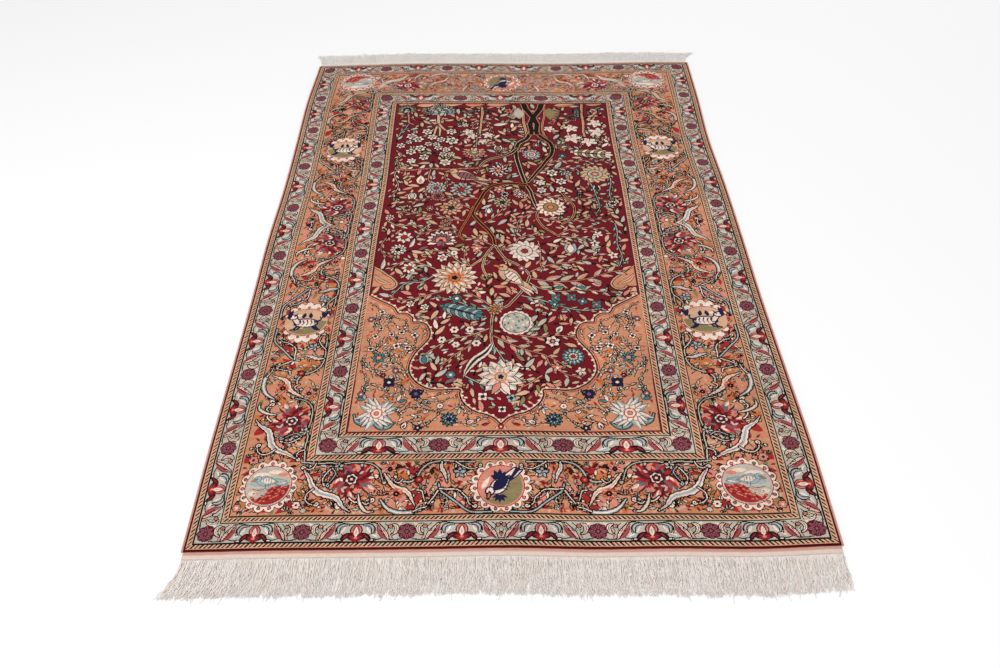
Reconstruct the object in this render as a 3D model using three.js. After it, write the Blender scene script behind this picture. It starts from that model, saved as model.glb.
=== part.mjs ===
// A knotted silk prayer rug of the Kayseri kind, lying flat on the floor. Millimetres, +Z up.
// The long side runs along Y, with the point of the prayer niche towards -Y. The knotted pile is one slab
// with a flat underside. Round it lie its edge cords, its flat-woven end strips and its fringes.
import * as THREE from "three";

// Knotted pile
const PILE_WIDTH = 1030;
const PILE_LENGTH = 1545;
const PILE_THICKNESS = 5;
const PILE_SHOULDER = 1.4; // how much lower the clipped edge of the pile is than its middle
const SHOULDER_REACH = 9; // how far in from the edge the pile slopes down
const PILE_RIPPLE = 0.35; // slow rise and fall of the pile's top
const RIPPLE_WAVES = { across: 2.3, along: 3.6 };
const PILE_CELLS = { across: 22, along: 33 };

// Edge cords down the long sides
const SELVEDGE_WIDTH = 4;
const SELVEDGE_HEIGHT = 4.2;
const SELVEDGE_SIDES = 8;
const SELVEDGE_STEPS = 48;

// Flat-woven strips past the last row of knots
const WEB_DEPTH = { near: 13, far: 8 };
const WEB_HEIGHT = 2;
const WEB_STEPS = 40;

// Fringes: the warps' free ends, a comb with a narrow heading
const FRINGE_LENGTH = { near: 70, far: 60 };
const FRINGE_HEIGHT = 3;
const FRINGE_TIP_HEIGHT = 1.6;
const FRINGE_HEADING = 14;
const FRINGE_TEETH = 76;
const TOOTH_GAP = 1.6; // clear way between two teeth at their roots
const WAIST_WIDTH_SHARE = 0.84;
const WAIST_AT = 0.55; // where a tooth's waist is, from the heading to its tip
const TIP_WIDTH_SHARE = 0.6;
const TIP_UNEVENNESS = 7; // the teeth end up to this much short of the full length
const TOOTH_SWAY = 5; // how far a tooth's tip leans to one side

const PIECE_GAP = 0.3;
const HALF_LENGTH = PILE_LENGTH / 2;

// How far each edge of the pile stands out from the straight rectangle, at even steps along it.
// Long sides run from the near end to the far end, ends from left to right.
const EDGE_BOW = {
  left: [-1, 1.5, 2, 2.5, 5, 2, 4, 7, 1],
  right: [-3, -1, -4.5, -7.5, -7, -8, -12.5, -7, -5],
  near: [1, -1, -1, -1.5, -2.5, 1.5, 1, 3, -1.5],
  far: [-5, 0, 5, 3.5, 0, -4, -3, 0, -2],
};

// How far the fringe's ends lean out past the pile's corners, or in from them
const FRINGE_SPLAY = {
  near: { left: 24, right: -8 },
  far: { left: 18, right: 34 },
};

const COLOURS = { pile: 0x8c2430, web: 0xe6d8c6, selvedge: 0xd99a82, fringe: 0xe4d9cf };
const CLOTH_ROUGHNESS = 0.85;

// A smooth reading of an evenly spaced table at a share from 0 to 1 of its length.
function along(table, share) {
  const points = table.map((value, i) => new THREE.Vector2(i, value));
  return new THREE.SplineCurve(points).getPoint(share).y;
}

// A place on the rug's plan. across and up run from 0 to 1, and each edge's bow fades towards the other edge.
function planPoint(across, up) {
  const left = along(EDGE_BOW.left, up);
  const right = along(EDGE_BOW.right, up);
  const near = along(EDGE_BOW.near, across);
  const far = along(EDGE_BOW.far, across);
  return new THREE.Vector2(
    (across - 0.5) * PILE_WIDTH + right * across - left * (1 - across),
    (up - 0.5) * PILE_LENGTH + far * up - near * (1 - up),
  );
}

// A hash of a whole number onto 0 to 1, so that uneven pieces are the same in every build.
function scatter(n) {
  const value = Math.sin(n * 12.9898 + 4.1414) * 43758.5453;
  return value - Math.floor(value);
}

function geometryFrom(points, faces) {
  const geometry = new THREE.BufferGeometry();
  geometry.setFromPoints(points);
  geometry.setIndex(faces.flat());
  return geometry.toNonIndexed();
}

// The pile's top height: it slopes down to its clipped edge, and ripples slowly.
function pileHeight(across, up) {
  const inFromSide = Math.min(across, 1 - across) * PILE_WIDTH;
  const inFromEnd = Math.min(up, 1 - up) * PILE_LENGTH;
  const edge = THREE.MathUtils.smoothstep(Math.min(inFromSide, inFromEnd), 0, SHOULDER_REACH);
  const ripple =
    Math.sin(across * RIPPLE_WAVES.across * 2 * Math.PI) * Math.cos(up * RIPPLE_WAVES.along * 2 * Math.PI);
  return PILE_THICKNESS - PILE_SHOULDER * (1 - edge) + PILE_RIPPLE * ripple * edge;
}

// Even steps from 0 to 1 with one more close to each end, where the pile slopes down.
function steps(cells, length) {
  const inner = Array.from({ length: cells + 1 }, (_, i) => i / cells);
  const shoulder = SHOULDER_REACH / length;
  return [0, shoulder, ...inner.slice(1, -1), 1 - shoulder, 1];
}

function pileGeometry() {
  const columns = steps(PILE_CELLS.across, PILE_WIDTH);
  const rows = steps(PILE_CELLS.along, PILE_LENGTH);
  const wide = columns.length;
  const points = [];
  for (const up of rows)
    for (const across of columns) {
      const place = planPoint(across, up);
      points.push(new THREE.Vector3(place.x, place.y, pileHeight(across, up)));
    }
  const faces = [];
  for (let j = 0; j < rows.length - 1; j++)
    for (let i = 0; i < wide - 1; i++) {
      const corner = j * wide + i;
      faces.push([corner, corner + 1, corner + wide + 1], [corner, corner + wide + 1, corner + wide]);
    }
  // The rim, anticlockwise from the near left corner
  const last = (rows.length - 1) * wide;
  const rim = [];
  for (let i = 0; i < wide - 1; i++) rim.push(i);
  for (let j = 0; j < rows.length - 1; j++) rim.push(j * wide + wide - 1);
  for (let i = wide - 1; i > 0; i--) rim.push(last + i);
  for (let j = rows.length - 1; j > 0; j--) rim.push(j * wide);
  const floor = points.length;
  for (const index of rim) points.push(new THREE.Vector3(points[index].x, points[index].y, 0));
  rim.forEach((index, i) => {
    const next = (i + 1) % rim.length;
    faces.push([floor + i, floor + next, rim[next]], [floor + i, rim[next], index]);
  });
  const outline = rim.map((index) => new THREE.Vector2(points[index].x, points[index].y));
  for (const [a, b, c] of THREE.ShapeUtils.triangulateShape(outline, []))
    faces.push([floor + a, floor + c, floor + b]);
  return geometryFrom(points, faces);
}

// A closed section, given as (out, up) points anticlockwise seen from the path's start, carried along a path
// of (place, outward) stations.
function sweep(section, stations) {
  const points = [];
  for (const { place, outward } of stations)
    for (const [out, up] of section)
      points.push(new THREE.Vector3(place.x + outward.x * out, place.y + outward.y * out, up));
  const sides = section.length;
  const faces = [];
  for (let s = 0; s < stations.length - 1; s++)
    for (let k = 0; k < sides; k++) {
      const a = s * sides + k;
      const b = s * sides + ((k + 1) % sides);
      faces.push([a, b + sides, b], [a, a + sides, b + sides]);
    }
  const end = (stations.length - 1) * sides;
  for (let k = 1; k < sides - 1; k++) faces.push([0, k, k + 1], [end, end + k + 1, end + k]);
  return geometryFrom(points, faces);
}

// A round cord's section, flattened where it lies on the floor.
function cordSection() {
  const radius = SELVEDGE_HEIGHT / 2;
  const cornerRadius = radius / Math.cos(Math.PI / SELVEDGE_SIDES);
  return Array.from({ length: SELVEDGE_SIDES }, (_, k) => {
    const turn = ((k + 0.5) / SELVEDGE_SIDES) * 2 * Math.PI;
    const up = radius + cornerRadius * Math.sin(turn);
    return [SELVEDGE_WIDTH / 2 + (SELVEDGE_WIDTH / 2) * Math.cos(turn), Math.max(up, 0)];
  });
}

// Stations down a long side, from near to far on the right and from far to near on the left, so that
// the outward direction is always to the right of the way.
function sideStations(side) {
  const right = side === "right";
  return Array.from({ length: SELVEDGE_STEPS + 1 }, (_, i) => {
    const share = i / SELVEDGE_STEPS;
    const outward = new THREE.Vector2(right ? 1 : -1, 0);
    const place = planPoint(right ? 1 : 0, right ? share : 1 - share);
    return { place: place.addScaledVector(outward, PIECE_GAP), outward };
  });
}

// Stations along an end, from left to right at the near end and from right to left at the far end,
// offset outwards by a distance.
function endStations(end, offset) {
  const near = end === "near";
  const outward = new THREE.Vector2(0, near ? -1 : 1);
  return Array.from({ length: WEB_STEPS + 1 }, (_, i) => {
    const share = i / WEB_STEPS;
    const place = planPoint(near ? share : 1 - share, near ? 0 : 1);
    return { place: place.addScaledVector(outward, offset), outward };
  });
}

function webGeometry(end) {
  const depth = WEB_DEPTH[end];
  const section = [
    [0, 0],
    [depth, 0],
    [depth, WEB_HEIGHT],
    [0, WEB_HEIGHT],
  ];
  return sweep(section, endStations(end, PIECE_GAP));
}

// The comb's outline: a straight-rooted heading with teeth that lean, taper and end unevenly.
function fringeGeometry(end) {
  const near = end === "near";
  const way = near ? -1 : 1;
  const length = FRINGE_LENGTH[end];
  const splay = FRINGE_SPLAY[end];
  const start = WEB_DEPTH[end] + 2 * PIECE_GAP;
  const root = (share) => planPoint(share, near ? 0 : 1);
  const seed = near ? 0 : FRINGE_TEETH;
  // A place at a share along the end and a distance out from the web
  const place = (share, out) => {
    const lean = (splay.right * share ** 8 - splay.left * (1 - share) ** 8) * (out / length) ** 2;
    return new THREE.Vector2(root(share).x + lean, root(share).y + way * (start + out));
  };
  const outline = [];
  for (let tooth = 0; tooth < FRINGE_TEETH; tooth++) {
    const first = tooth / FRINGE_TEETH;
    const last = (tooth + 1) / FRINGE_TEETH;
    const middle = (first + last) / 2;
    const half = (last - first) / 2;
    const gap = TOOTH_GAP / PILE_WIDTH / 2;
    const reach = length - TIP_UNEVENNESS * scatter(seed + tooth);
    const sway = (TOOTH_SWAY * (scatter(seed + tooth + 0.5) - 0.5)) / PILE_WIDTH;
    const waist = THREE.MathUtils.lerp(FRINGE_HEADING, reach, WAIST_AT);
    const tip = half * TIP_WIDTH_SHARE;
    outline.push(
      place(first + gap, FRINGE_HEADING),
      place(middle - half * WAIST_WIDTH_SHARE, waist),
      place(middle + sway - tip, reach),
      place(middle + sway + tip, reach - 1),
      place(middle + half * WAIST_WIDTH_SHARE, waist),
      place(last - gap, FRINGE_HEADING),
    );
  }
  const roots = Array.from({ length: WEB_STEPS + 1 }, (_, i) => place(1 - i / WEB_STEPS, 0));
  const contour = [...outline, ...roots];
  const anticlockwise = near ? contour : contour.reverse();
  const geometry = new THREE.ExtrudeGeometry(new THREE.Shape(anticlockwise), {
    depth: FRINGE_HEIGHT,
    bevelEnabled: false,
  });
  // The top slopes down evenly from the heading to the tips
  const corners = geometry.getAttribute("position");
  const rootY = way * (HALF_LENGTH + start);
  for (let i = 0; i < corners.count; i++) {
    const out = (way * (corners.getY(i) - rootY)) / length;
    const height = THREE.MathUtils.lerp(FRINGE_HEIGHT, FRINGE_TIP_HEIGHT, out);
    if (corners.getZ(i) > 0) corners.setZ(i, height);
  }
  return geometry;
}

function piece(name, color, geometry) {
  const material = new THREE.MeshStandardMaterial({ color, roughness: CLOTH_ROUGHNESS, metalness: 0 });
  const mesh = new THREE.Mesh(geometry, material);
  mesh.name = name;
  return mesh;
}

const rug = new THREE.Group();
rug.add(piece("pile", COLOURS.pile, pileGeometry()));
for (const side of ["left", "right"])
  rug.add(piece(`selvedge_${side}`, COLOURS.selvedge, sweep(cordSection(), sideStations(side))));
for (const end of ["near", "far"]) {
  rug.add(piece(`end_web_${end}`, COLOURS.web, webGeometry(end)));
  rug.add(piece(`fringe_${end}`, COLOURS.fringe, fringeGeometry(end)));
}

// The frame's origin is the middle of the whole rug's underside
const extent = new THREE.Box3().setFromObject(rug);
const middle = extent.getCenter(new THREE.Vector3());
rug.position.set(-middle.x, -middle.y, -extent.min.z);

const kayseriRug = new THREE.Group();
kayseriRug.add(rug);
export default kayseriRug;
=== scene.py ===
"""A knotted silk prayer rug of the Kayseri kind, lying flat, with its edge cords, woven ends and fringes.

The pile's pattern is drawn here knot by knot: motifs worked out from distances are laid on a knot chart, and
the pile's faces carry the chart as packed numbers that the pile's material reads back.
"""

import logging
import math
from dataclasses import dataclass, replace
from enum import Enum, IntEnum
from typing import Callable, Iterable, List, Optional, Sequence, Tuple, Union

import bpy
import numpy as np
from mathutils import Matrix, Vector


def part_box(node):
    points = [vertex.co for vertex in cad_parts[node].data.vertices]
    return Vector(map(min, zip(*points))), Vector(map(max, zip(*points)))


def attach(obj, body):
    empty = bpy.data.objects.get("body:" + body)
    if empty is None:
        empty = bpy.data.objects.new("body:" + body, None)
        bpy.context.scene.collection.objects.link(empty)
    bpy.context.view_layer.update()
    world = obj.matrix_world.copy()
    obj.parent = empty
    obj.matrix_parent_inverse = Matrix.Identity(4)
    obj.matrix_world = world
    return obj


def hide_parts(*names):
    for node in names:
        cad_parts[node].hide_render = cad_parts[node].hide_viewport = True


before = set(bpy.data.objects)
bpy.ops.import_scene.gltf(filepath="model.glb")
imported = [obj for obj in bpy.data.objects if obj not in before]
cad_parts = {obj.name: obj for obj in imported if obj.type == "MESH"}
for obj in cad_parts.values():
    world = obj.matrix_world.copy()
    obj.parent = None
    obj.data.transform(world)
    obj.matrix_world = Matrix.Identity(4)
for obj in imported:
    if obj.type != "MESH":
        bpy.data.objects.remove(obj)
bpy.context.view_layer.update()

Point = Tuple[float, float]
Path = Sequence[Point]
Box = Tuple[int, int, int, int]  # left, low, right, high, in knots
Colour = Tuple[float, float, float]
Distance = Callable[[np.ndarray, np.ndarray], np.ndarray]

# The knot chart: about one knot to the millimetre, row 0 at the near end
KNOTS_ACROSS = 1032
KNOTS_ALONG = 1548
HALF = KNOTS_ACROSS // 2
RIM = 1.5  # how wide an outline is at first, in knots
STRETCHES = 6  # how many stretches of a band are worked at once


class Yarn(IntEnum):
    """The pile's yarns, numbered as the chart holds them."""

    CRIMSON = 0
    BRICK = 1
    MAROON = 2
    BLACK = 3
    GREEN = 4
    NAVY = 5
    TEAL = 6
    BLUE = 7
    SAGE = 8
    OLIVE = 9
    OCHRE = 10
    ORANGE = 11
    PINK = 12
    BEIGE = 13
    CREAM = 14
    MAUVE = 15


(CRIMSON, BRICK, MAROON, BLACK, GREEN, NAVY, TEAL, BLUE,
 SAGE, OLIVE, OCHRE, ORANGE, PINK, BEIGE, CREAM, MAUVE) = Yarn

# Each yarn's colour as screen values from 0 to 255
YARN_COLOURS = {
    CRIMSON: (110, 12, 26),
    BRICK: (158, 40, 38),
    MAROON: (90, 18, 30),
    BLACK: (14, 5, 5),
    GREEN: (28, 42, 34),
    NAVY: (24, 24, 60),
    TEAL: (72, 114, 114),
    BLUE: (158, 168, 168),
    SAGE: (185, 177, 162),
    OLIVE: (134, 120, 82),
    OCHRE: (190, 108, 60),
    ORANGE: (198, 135, 102),
    PINK: (208, 132, 113),
    BEIGE: (206, 164, 132),
    CREAM: (234, 208, 192),
    MAUVE: (134, 84, 92),
}


class Slot(Enum):
    """Which of its motif's yarns a stroke is worked in."""

    A = 0
    B = 1
    C = 2
    D = 3


A, B, C, D = Slot
Tone = Union[Yarn, Slot, None]


def smooth(stops: Path, steps: int = 5) -> np.ndarray:
    """Run a smooth curve through its stops, as a cubic that leaves each stop along its neighbours' chord.

    Args:
        stops: The points that the curve passes through.
        steps: How many points there are from one stop to the next.

    Returns:
        The curve's points, one row each.
    """
    points = np.asarray(stops, float)
    if len(points) == 2:
        return np.linspace(points[0], points[1], steps + 1)
    held = np.vstack([2 * points[0] - points[1], points, 2 * points[-1] - points[-2]])
    a, b, c, d = held[:-3], held[1:-2], held[2:-1], held[3:]
    t = np.linspace(0, 1, steps, endpoint=False)[:, None, None]
    curve = 0.5 * (2 * b + (c - a) * t + (2 * a - 5 * b + 4 * c - d) * t**2 + (3 * b - a - 3 * c + d) * t**3)
    return np.vstack([curve.transpose(1, 0, 2).reshape(-1, 2), points[-1]])


def band(line: np.ndarray, half: np.ndarray) -> Distance:
    """Make the distance to a band: that to the nearest stretch of its middle line, less half its width there.

    Args:
        line: The line's points, one row each.
        half: Half the width on each stretch between two points.

    Returns:
        The distance from local u and v.
    """
    a, along_line = line[:-1], np.diff(line, axis=0)

    def distance(u: np.ndarray, v: np.ndarray) -> np.ndarray:
        """Measure from the band's edge.

        Args:
            u: The places across.
            v: The places along.

        Returns:
            The distance, below zero inside.
        """
        gap = np.stack([u, v], -1)[..., None, :] - a
        share = np.clip((gap * along_line).sum(-1) / (along_line**2).sum(-1), 0, 1)
        return (np.hypot(*np.moveaxis(gap - share[..., None] * along_line, -1, 0)) - half).min(-1)

    return distance


class KnotChart:
    """The plan of the pile's knots: one yarn's number for each knot."""

    def __init__(self, ground: Yarn = CRIMSON) -> None:
        """Start a chart of one ground yarn."""
        self.yarns = np.full((KNOTS_ALONG, KNOTS_ACROSS), ground, np.uint8)

    def mirror(self) -> None:
        """Copy the left half onto the right half, turned over."""
        self.yarns[:, HALF:] = self.yarns[:, :HALF][:, ::-1]

    def frame(self, end_inset: float, far_inset: float, side_inset: float, yarn: Yarn) -> None:
        """Fill a rectangle set in from the chart's edges."""
        rows = slice(round(end_inset), KNOTS_ALONG - round(far_inset))
        self.yarns[rows, round(side_inset):KNOTS_ACROSS - round(side_inset)] = yarn

    def redye(self, box: Box, old: Yarn, new: Yarn) -> None:
        """Change one yarn for another inside a box."""
        part = self.yarns[box[1]:box[3], box[0]:box[2]]
        part[part == old] = new

    def bare(self, x: float, y: float, reach: int, ground: Tuple[Yarn, ...]) -> float:
        """Say what share of a square is still ground.

        Args:
            x: The square's middle across.
            y: Its middle along.
            reach: How far it reaches from its middle.
            ground: The yarns that count as ground.

        Returns:
            The share, from 0 to 1.
        """
        low, left = max(int(y) - reach, 0), max(int(x) - reach, 0)
        square = self.yarns[low:int(y) + reach + 1, left:int(x) + reach + 1]
        return float(np.mean(np.isin(square, ground)))

    def fill(self, outline: np.ndarray, yarn: Yarn) -> None:
        """Fill the inside of a closed outline, found by counting the edges that a line to the right meets.

        Args:
            outline: The outline's points, one row each.
            yarn: The yarn to fill it with.
        """
        low = np.maximum(np.floor(outline.min(0)).astype(int), 0)
        high = np.ceil(outline.max(0)).astype(int)
        x, y = np.meshgrid(np.arange(low[0], high[0]) + 0.5, np.arange(low[1], high[1]) + 0.5)
        inside = np.zeros(x.shape, bool)
        for (ax, ay), (bx, by) in zip(outline, np.roll(outline, -1, 0)):
            if ay != by:
                inside ^= ((ay > y) != (by > y)) & (x < ax + (y - ay) * (bx - ax) / (by - ay))
        patch = self.yarns[low[1]:low[1] + x.shape[0], low[0]:low[0] + x.shape[1]]
        patch[inside[:patch.shape[0], :patch.shape[1]]] = yarn


@dataclass(frozen=True)
class Needle:
    """A place on the chart to work from, with two axes of its own.

    chart is what is worked on, x and y the place, u_axis and v_axis the local axes in knots, clip the knots
    that may be worked, over the only yarns that may be covered, outline how wide outlines are, and yarns the
    motif's yarns that the slots stand for.
    """

    chart: KnotChart
    x: float = 0.0
    y: float = 0.0
    u_axis: Point = (1.0, 0.0)
    v_axis: Point = (0.0, 1.0)
    clip: Box = (0, 0, KNOTS_ACROSS, KNOTS_ALONG)
    over: Tuple[Yarn, ...] = ()
    outline: float = RIM
    yarns: Tuple[Yarn, ...] = ()

    def at(self, x: float, y: float, turn: float = 0.0, size: float = 1.0, flip: bool = False) -> "Needle":
        """Move the place worked from.

        Args:
            x: How far along the local u axis.
            y: How far along the local v axis.
            turn: How far to turn, in degrees.
            size: How much larger to work.
            flip: Whether to turn the work over.

        Returns:
            A needle at the new place.
        """
        c = math.cos(math.radians(turn)) * size
        s = math.sin(math.radians(turn)) * size
        (a, b), (p, q) = self.u_axis, self.v_axis
        way = -1.0 if flip else 1.0
        return replace(
            self,
            x=self.x + x * a + y * p,
            y=self.y + x * b + y * q,
            u_axis=(c * a + s * p, c * b + s * q),
            v_axis=(way * (c * p - s * a), way * (c * q - s * b)),
        )

    def pick(self, tone: Tone) -> Optional[Yarn]:
        """Give the yarn that a tone stands for."""
        return self.yarns[tone.value] if isinstance(tone, Slot) else tone

    def work(self, reach: Tuple[float, float, float, float], distance: Distance,
             tone: Tone, rim: Tone = None, grow: float = 0.0) -> None:
        """Work one shape: its yarn where the distance is below zero, its rim up to an outline's width beyond.

        Args:
            reach: The shape's box in local units, as low u, low v, high u, high v.
            distance: The signed distance to the shape's edge, from local u and v.
            tone: The yarn inside, or None to leave it.
            rim: The outline's yarn, or None for no outline.
            grow: How many knots the shape is swollen by.
        """
        (a, b), (p, q) = self.u_axis, self.v_axis
        area = a * q - b * p
        scale = math.sqrt(abs(area))
        spare = (self.outline + grow + 1.0) / scale
        u, v = np.meshgrid([reach[0] - spare, reach[2] + spare], [reach[1] - spare, reach[3] + spare])
        xs, ys = self.x + u * a + v * p, self.y + u * b + v * q
        left, low = max(self.clip[0], int(xs.min())), max(self.clip[1], int(ys.min()))
        right, high = min(self.clip[2], int(xs.max()) + 1), min(self.clip[3], int(ys.max()) + 1)
        if left >= right or low >= high:
            return
        x, y = np.meshgrid(np.arange(left, right) + 0.5 - self.x, np.arange(low, high) + 0.5 - self.y)
        away = distance((x * q - y * p) / area, (y * a - x * b) / area) * scale - grow
        patch = self.chart.yarns[low:high, left:right]
        free = np.isin(patch, self.over) if self.over else np.ones(patch.shape, bool)
        for colour, edge in ((rim, self.outline), (tone, 0.0)):
            if colour is not None:
                patch[free & (away < edge)] = self.pick(colour)

    def ribbon(self, line: np.ndarray, half: np.ndarray, tone: Tone, rim: Tone = None) -> None:
        """Work a band along a line, a few stretches at a time, all of its outline first.

        Args:
            line: The line's points, one row each.
            half: Half the width on each stretch between two points.
            tone: The band's yarn, or None.
            rim: Its outline's yarn, or None.
        """
        widest = float(half.max())
        for colour, grow in ((rim, self.outline), (tone, 0.0)):
            for start in range(0, len(line) - 1, STRETCHES) if colour is not None else ():
                near = line[start:start + STRETCHES + 1]
                low, high = near.min(0) - widest, near.max(0) + widest
                self.work((*low, *high), band(near, half[start:start + STRETCHES]), colour, grow=grow)


# Strokes. Each is worked from a needle's place, and its yarns may be slots of the motif that it belongs to.

@dataclass(frozen=True)
class Oval:
    """An oval from its centre and its two half-widths."""

    x: float
    y: float
    rx: float
    ry: float
    tone: Tone
    rim: Tone = BLACK

    def draw(self, n: Needle) -> None:
        """Work the oval, its distance that to the unit circle times the smaller half-width.

        Args:
            n: Where it is worked from.
        """
        rx, ry = self.rx, self.ry
        n.at(self.x, self.y).work((-rx, -ry, rx, ry),
                                  lambda u, v: (np.hypot(u / rx, v / ry) - 1) * min(rx, ry),
                                  self.tone, self.rim)


def disc(radius: float, tone: Tone, rim: Tone = BLACK) -> Oval:
    """Make a round oval at a motif's centre."""
    return Oval(0, 0, radius, radius, tone, rim)


@dataclass(frozen=True)
class Leaf:
    """A pointed leaf from its foot: the way it points in degrees, its length and its greatest width.

    bend is how far the tip is moved to the left, teeth the length of a tooth along its edges or 0, and second
    the yarn of the half to the left of its middle line where it differs.
    """

    x: float
    y: float
    turn: float
    length: float
    width: float
    tone: Tone
    rim: Tone = BLACK
    bend: float = 0.0
    teeth: float = 0.0
    second: Tone = None

    def middle(self, u: np.ndarray) -> np.ndarray:
        """Say how far the middle line has moved sideways: the bend times the share of the length, squared."""
        return self.bend * np.clip(u / self.length, 0, 1) ** 2

    def distance(self, u: np.ndarray, v: np.ndarray) -> np.ndarray:
        """Measure from the edge: half the width is width / 2 times sin(pi t^0.8) at a share t of the length.

        Args:
            u: How far along the leaf.
            v: How far to its left.

        Returns:
            The distance, below zero inside.
        """
        half = self.width / 2 * np.sin(np.pi * np.clip(u / self.length, 0, 1) ** 0.8)
        if self.teeth:
            half = half * (1 - 0.45 * np.mod(u / self.teeth, 1))
        side = np.abs(v - self.middle(u)) - half
        beyond = np.maximum(-u, u - self.length)
        return np.where(beyond > 0, np.hypot(np.maximum(side, 0), beyond), side)

    def draw(self, n: Needle) -> None:
        """Work the leaf, then its left half where that has a yarn of its own.

        Args:
            n: Where it is worked from.
        """
        place = n.at(self.x, self.y, self.turn)
        reach = (0, min(self.bend, 0) - self.width / 2, self.length, max(self.bend, 0) + self.width / 2)
        place.work(reach, self.distance, self.tone, self.rim)
        if self.second is not None:
            place.work(reach, lambda u, v: np.maximum(self.distance(u, v), self.middle(u) - v), self.second)


@dataclass(frozen=True)
class Lobes:
    """A round of lobes: its radius falls between them by a share, depth, as |cos(count a / 2)|^0.7."""

    radius: float
    count: int
    tone: Tone
    rim: Tone = BLACK
    depth: float = 0.3
    y: float = 0.0
    turn: float = 0.0
    tall: float = 1.0

    def draw(self, n: Needle) -> None:
        """Work the lobes, measuring along the radius.

        Args:
            n: Where they are worked from.
        """
        def distance(u: np.ndarray, v: np.ndarray) -> np.ndarray:
            """Measure from the lobed edge."""
            wave = np.abs(np.cos(self.count * np.arctan2(v / self.tall, u) / 2)) ** 0.7
            return np.hypot(u, v / self.tall) - self.radius * (1 - self.depth + self.depth * wave)

        wide, high = self.radius, self.radius * self.tall
        n.at(0, self.y, self.turn).work((-wide, -high, wide, high), distance, self.tone, self.rim)


@dataclass(frozen=True)
class Ring:
    """Leaves like rays from an inner to an outer radius, over a sweep of degrees."""

    count: int
    inner: float
    outer: float
    width: float
    tone: Tone
    rim: Tone = BLACK
    start: float = 0.0
    sweep: float = 360.0
    second: Tone = None
    y: float = 0.0

    def draw(self, n: Needle) -> None:
        """Work the leaves one after the other.

        Args:
            n: Where they are worked from.
        """
        step = self.sweep / (self.count if self.sweep == 360.0 else self.count - 1)
        leaf = Leaf(self.inner, 0, 0, self.outer - self.inner, self.width, self.tone, self.rim,
                    second=self.second)
        for k in range(self.count):
            leaf.draw(n.at(0, self.y, self.start + k * step))


@dataclass(frozen=True)
class Line:
    """What follows a curve: its stops, its width and its yarn."""

    stops: Path
    width: float = 1.8
    tone: Tone = BLACK

    @property
    def up(self) -> float:
        """Say how far along the chart it starts."""
        return self.stops[0][1]

    def moved(self, shift: Callable[[float, float], float]) -> "Line":
        """Give the same line, moved across by shift."""
        return replace(self, stops=tuple((x + shift(x, y), y) for x, y in self.stops))


@dataclass(frozen=True)
class Stem(Line):
    """A vine: with its outline's yarn and the share of its width left at its tip."""

    rim: Tone = None
    tip: float = 0.6

    def draw(self, n: Needle) -> None:
        """Work the vine, its width falling evenly to its tip.

        Args:
            n: Where it is worked from.
        """
        line = smooth(self.stops)
        n.ribbon(line, np.linspace(1, self.tip, len(line) - 1) * self.width / 2, self.tone, self.rim)


@dataclass(frozen=True)
class Blade(Line):
    """A long leaf, widest before its middle: with its vein's and outline's yarns and its teeth's length."""

    vein: Tone = None
    rim: Tone = BLACK
    teeth: float = 0.0

    def draw(self, n: Needle) -> None:
        """Work the leaf, its half width sin(pi t^0.85) at a share t, then the vein at a third of its width.

        Args:
            n: Where it is worked from.
        """
        line = smooth(self.stops, 8)
        run = np.cumsum(np.hypot(*np.diff(line, axis=0).T))
        half = self.width / 2 * np.sin(np.pi * np.linspace(0.06, 0.97, len(line) - 1) ** 0.85)
        edge = half * (1 - 0.4 * np.mod(run / self.teeth, 1)) if self.teeth else half
        n.ribbon(line, np.maximum(edge, 0.6), self.tone, self.rim)
        if self.vein is not None:
            n.ribbon(line, half * 0.34, self.vein)


@dataclass(frozen=True)
class Spray(Line):
    """A stem with slender leaves on alternate sides, each pointing forwards and shorter to the tip.

    leaf is the first leaf's length, step how far it is from leaf to leaf, yarns the leaves' yarns in turn,
    rim the stem's outline's yarn, and hook how long the curl at the tip is, or 0.
    """

    leaf: float = 14.0
    step: float = 9.0
    yarns: Tuple[Yarn, ...] = (BEIGE, SAGE)
    rim: Tone = None
    hook: float = 0.0

    def draw(self, n: Needle) -> None:
        """Work the leaves, the stem, and the curl, which turns by 55 degrees a step.

        Args:
            n: Where it is worked from.
        """
        line = smooth(self.stops, 8)
        ahead = np.diff(line, axis=0)
        run = np.concatenate([[0.0], np.cumsum(np.hypot(*ahead.T))])
        for k, place in enumerate(np.arange(self.step * 0.7, run[-1], self.step)):
            index = min(int(np.searchsorted(run, place)), len(ahead) - 1)
            heading = math.degrees(math.atan2(ahead[index, 1], ahead[index, 0]))
            side = 1 if k % 2 else -1
            size = self.leaf * (1.05 - 0.45 * place / run[-1])
            yarn, second = (self.yarns[(k + more) % len(self.yarns)] for more in (0, 1))
            Leaf(*line[index], heading + side * 40, size, size * 0.33, yarn, bend=-side * size * 0.16,
                 second=second).draw(n)
        Stem(self.stops, self.width, self.tone, self.rim).draw(n)
        if self.hook:
            turn = np.arctan2(ahead[-1, 1], ahead[-1, 0]) + np.radians(55.0) * np.arange(6)
            step = self.hook * 0.42 * 0.8 ** np.arange(6)[:, None]
            curl = np.cumsum(np.vstack([line[-1:], step * np.stack([np.cos(turn), np.sin(turn)], -1)]), 0)
            Stem(curl, self.width, self.tone, self.rim, 1.0).draw(n)


@dataclass(frozen=True)
class Branch(Line):
    """A dark branch between light edges: with the edges' yarn and the share of its width left at its tip."""

    edge: Yarn = ORANGE
    tip: float = 0.6
    edge_width: float = 3.4

    def draw(self, n: Needle) -> None:
        """Work the edges first and the dark middle on them.

        Args:
            n: Where it is worked from.
        """
        whole = self.width + self.edge_width
        Stem(self.stops, whole, self.edge, BLACK, (self.width * self.tip + self.edge_width) / whole).draw(n)
        Stem(self.stops, self.width, self.tone, None, self.tip).draw(n)


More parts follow.
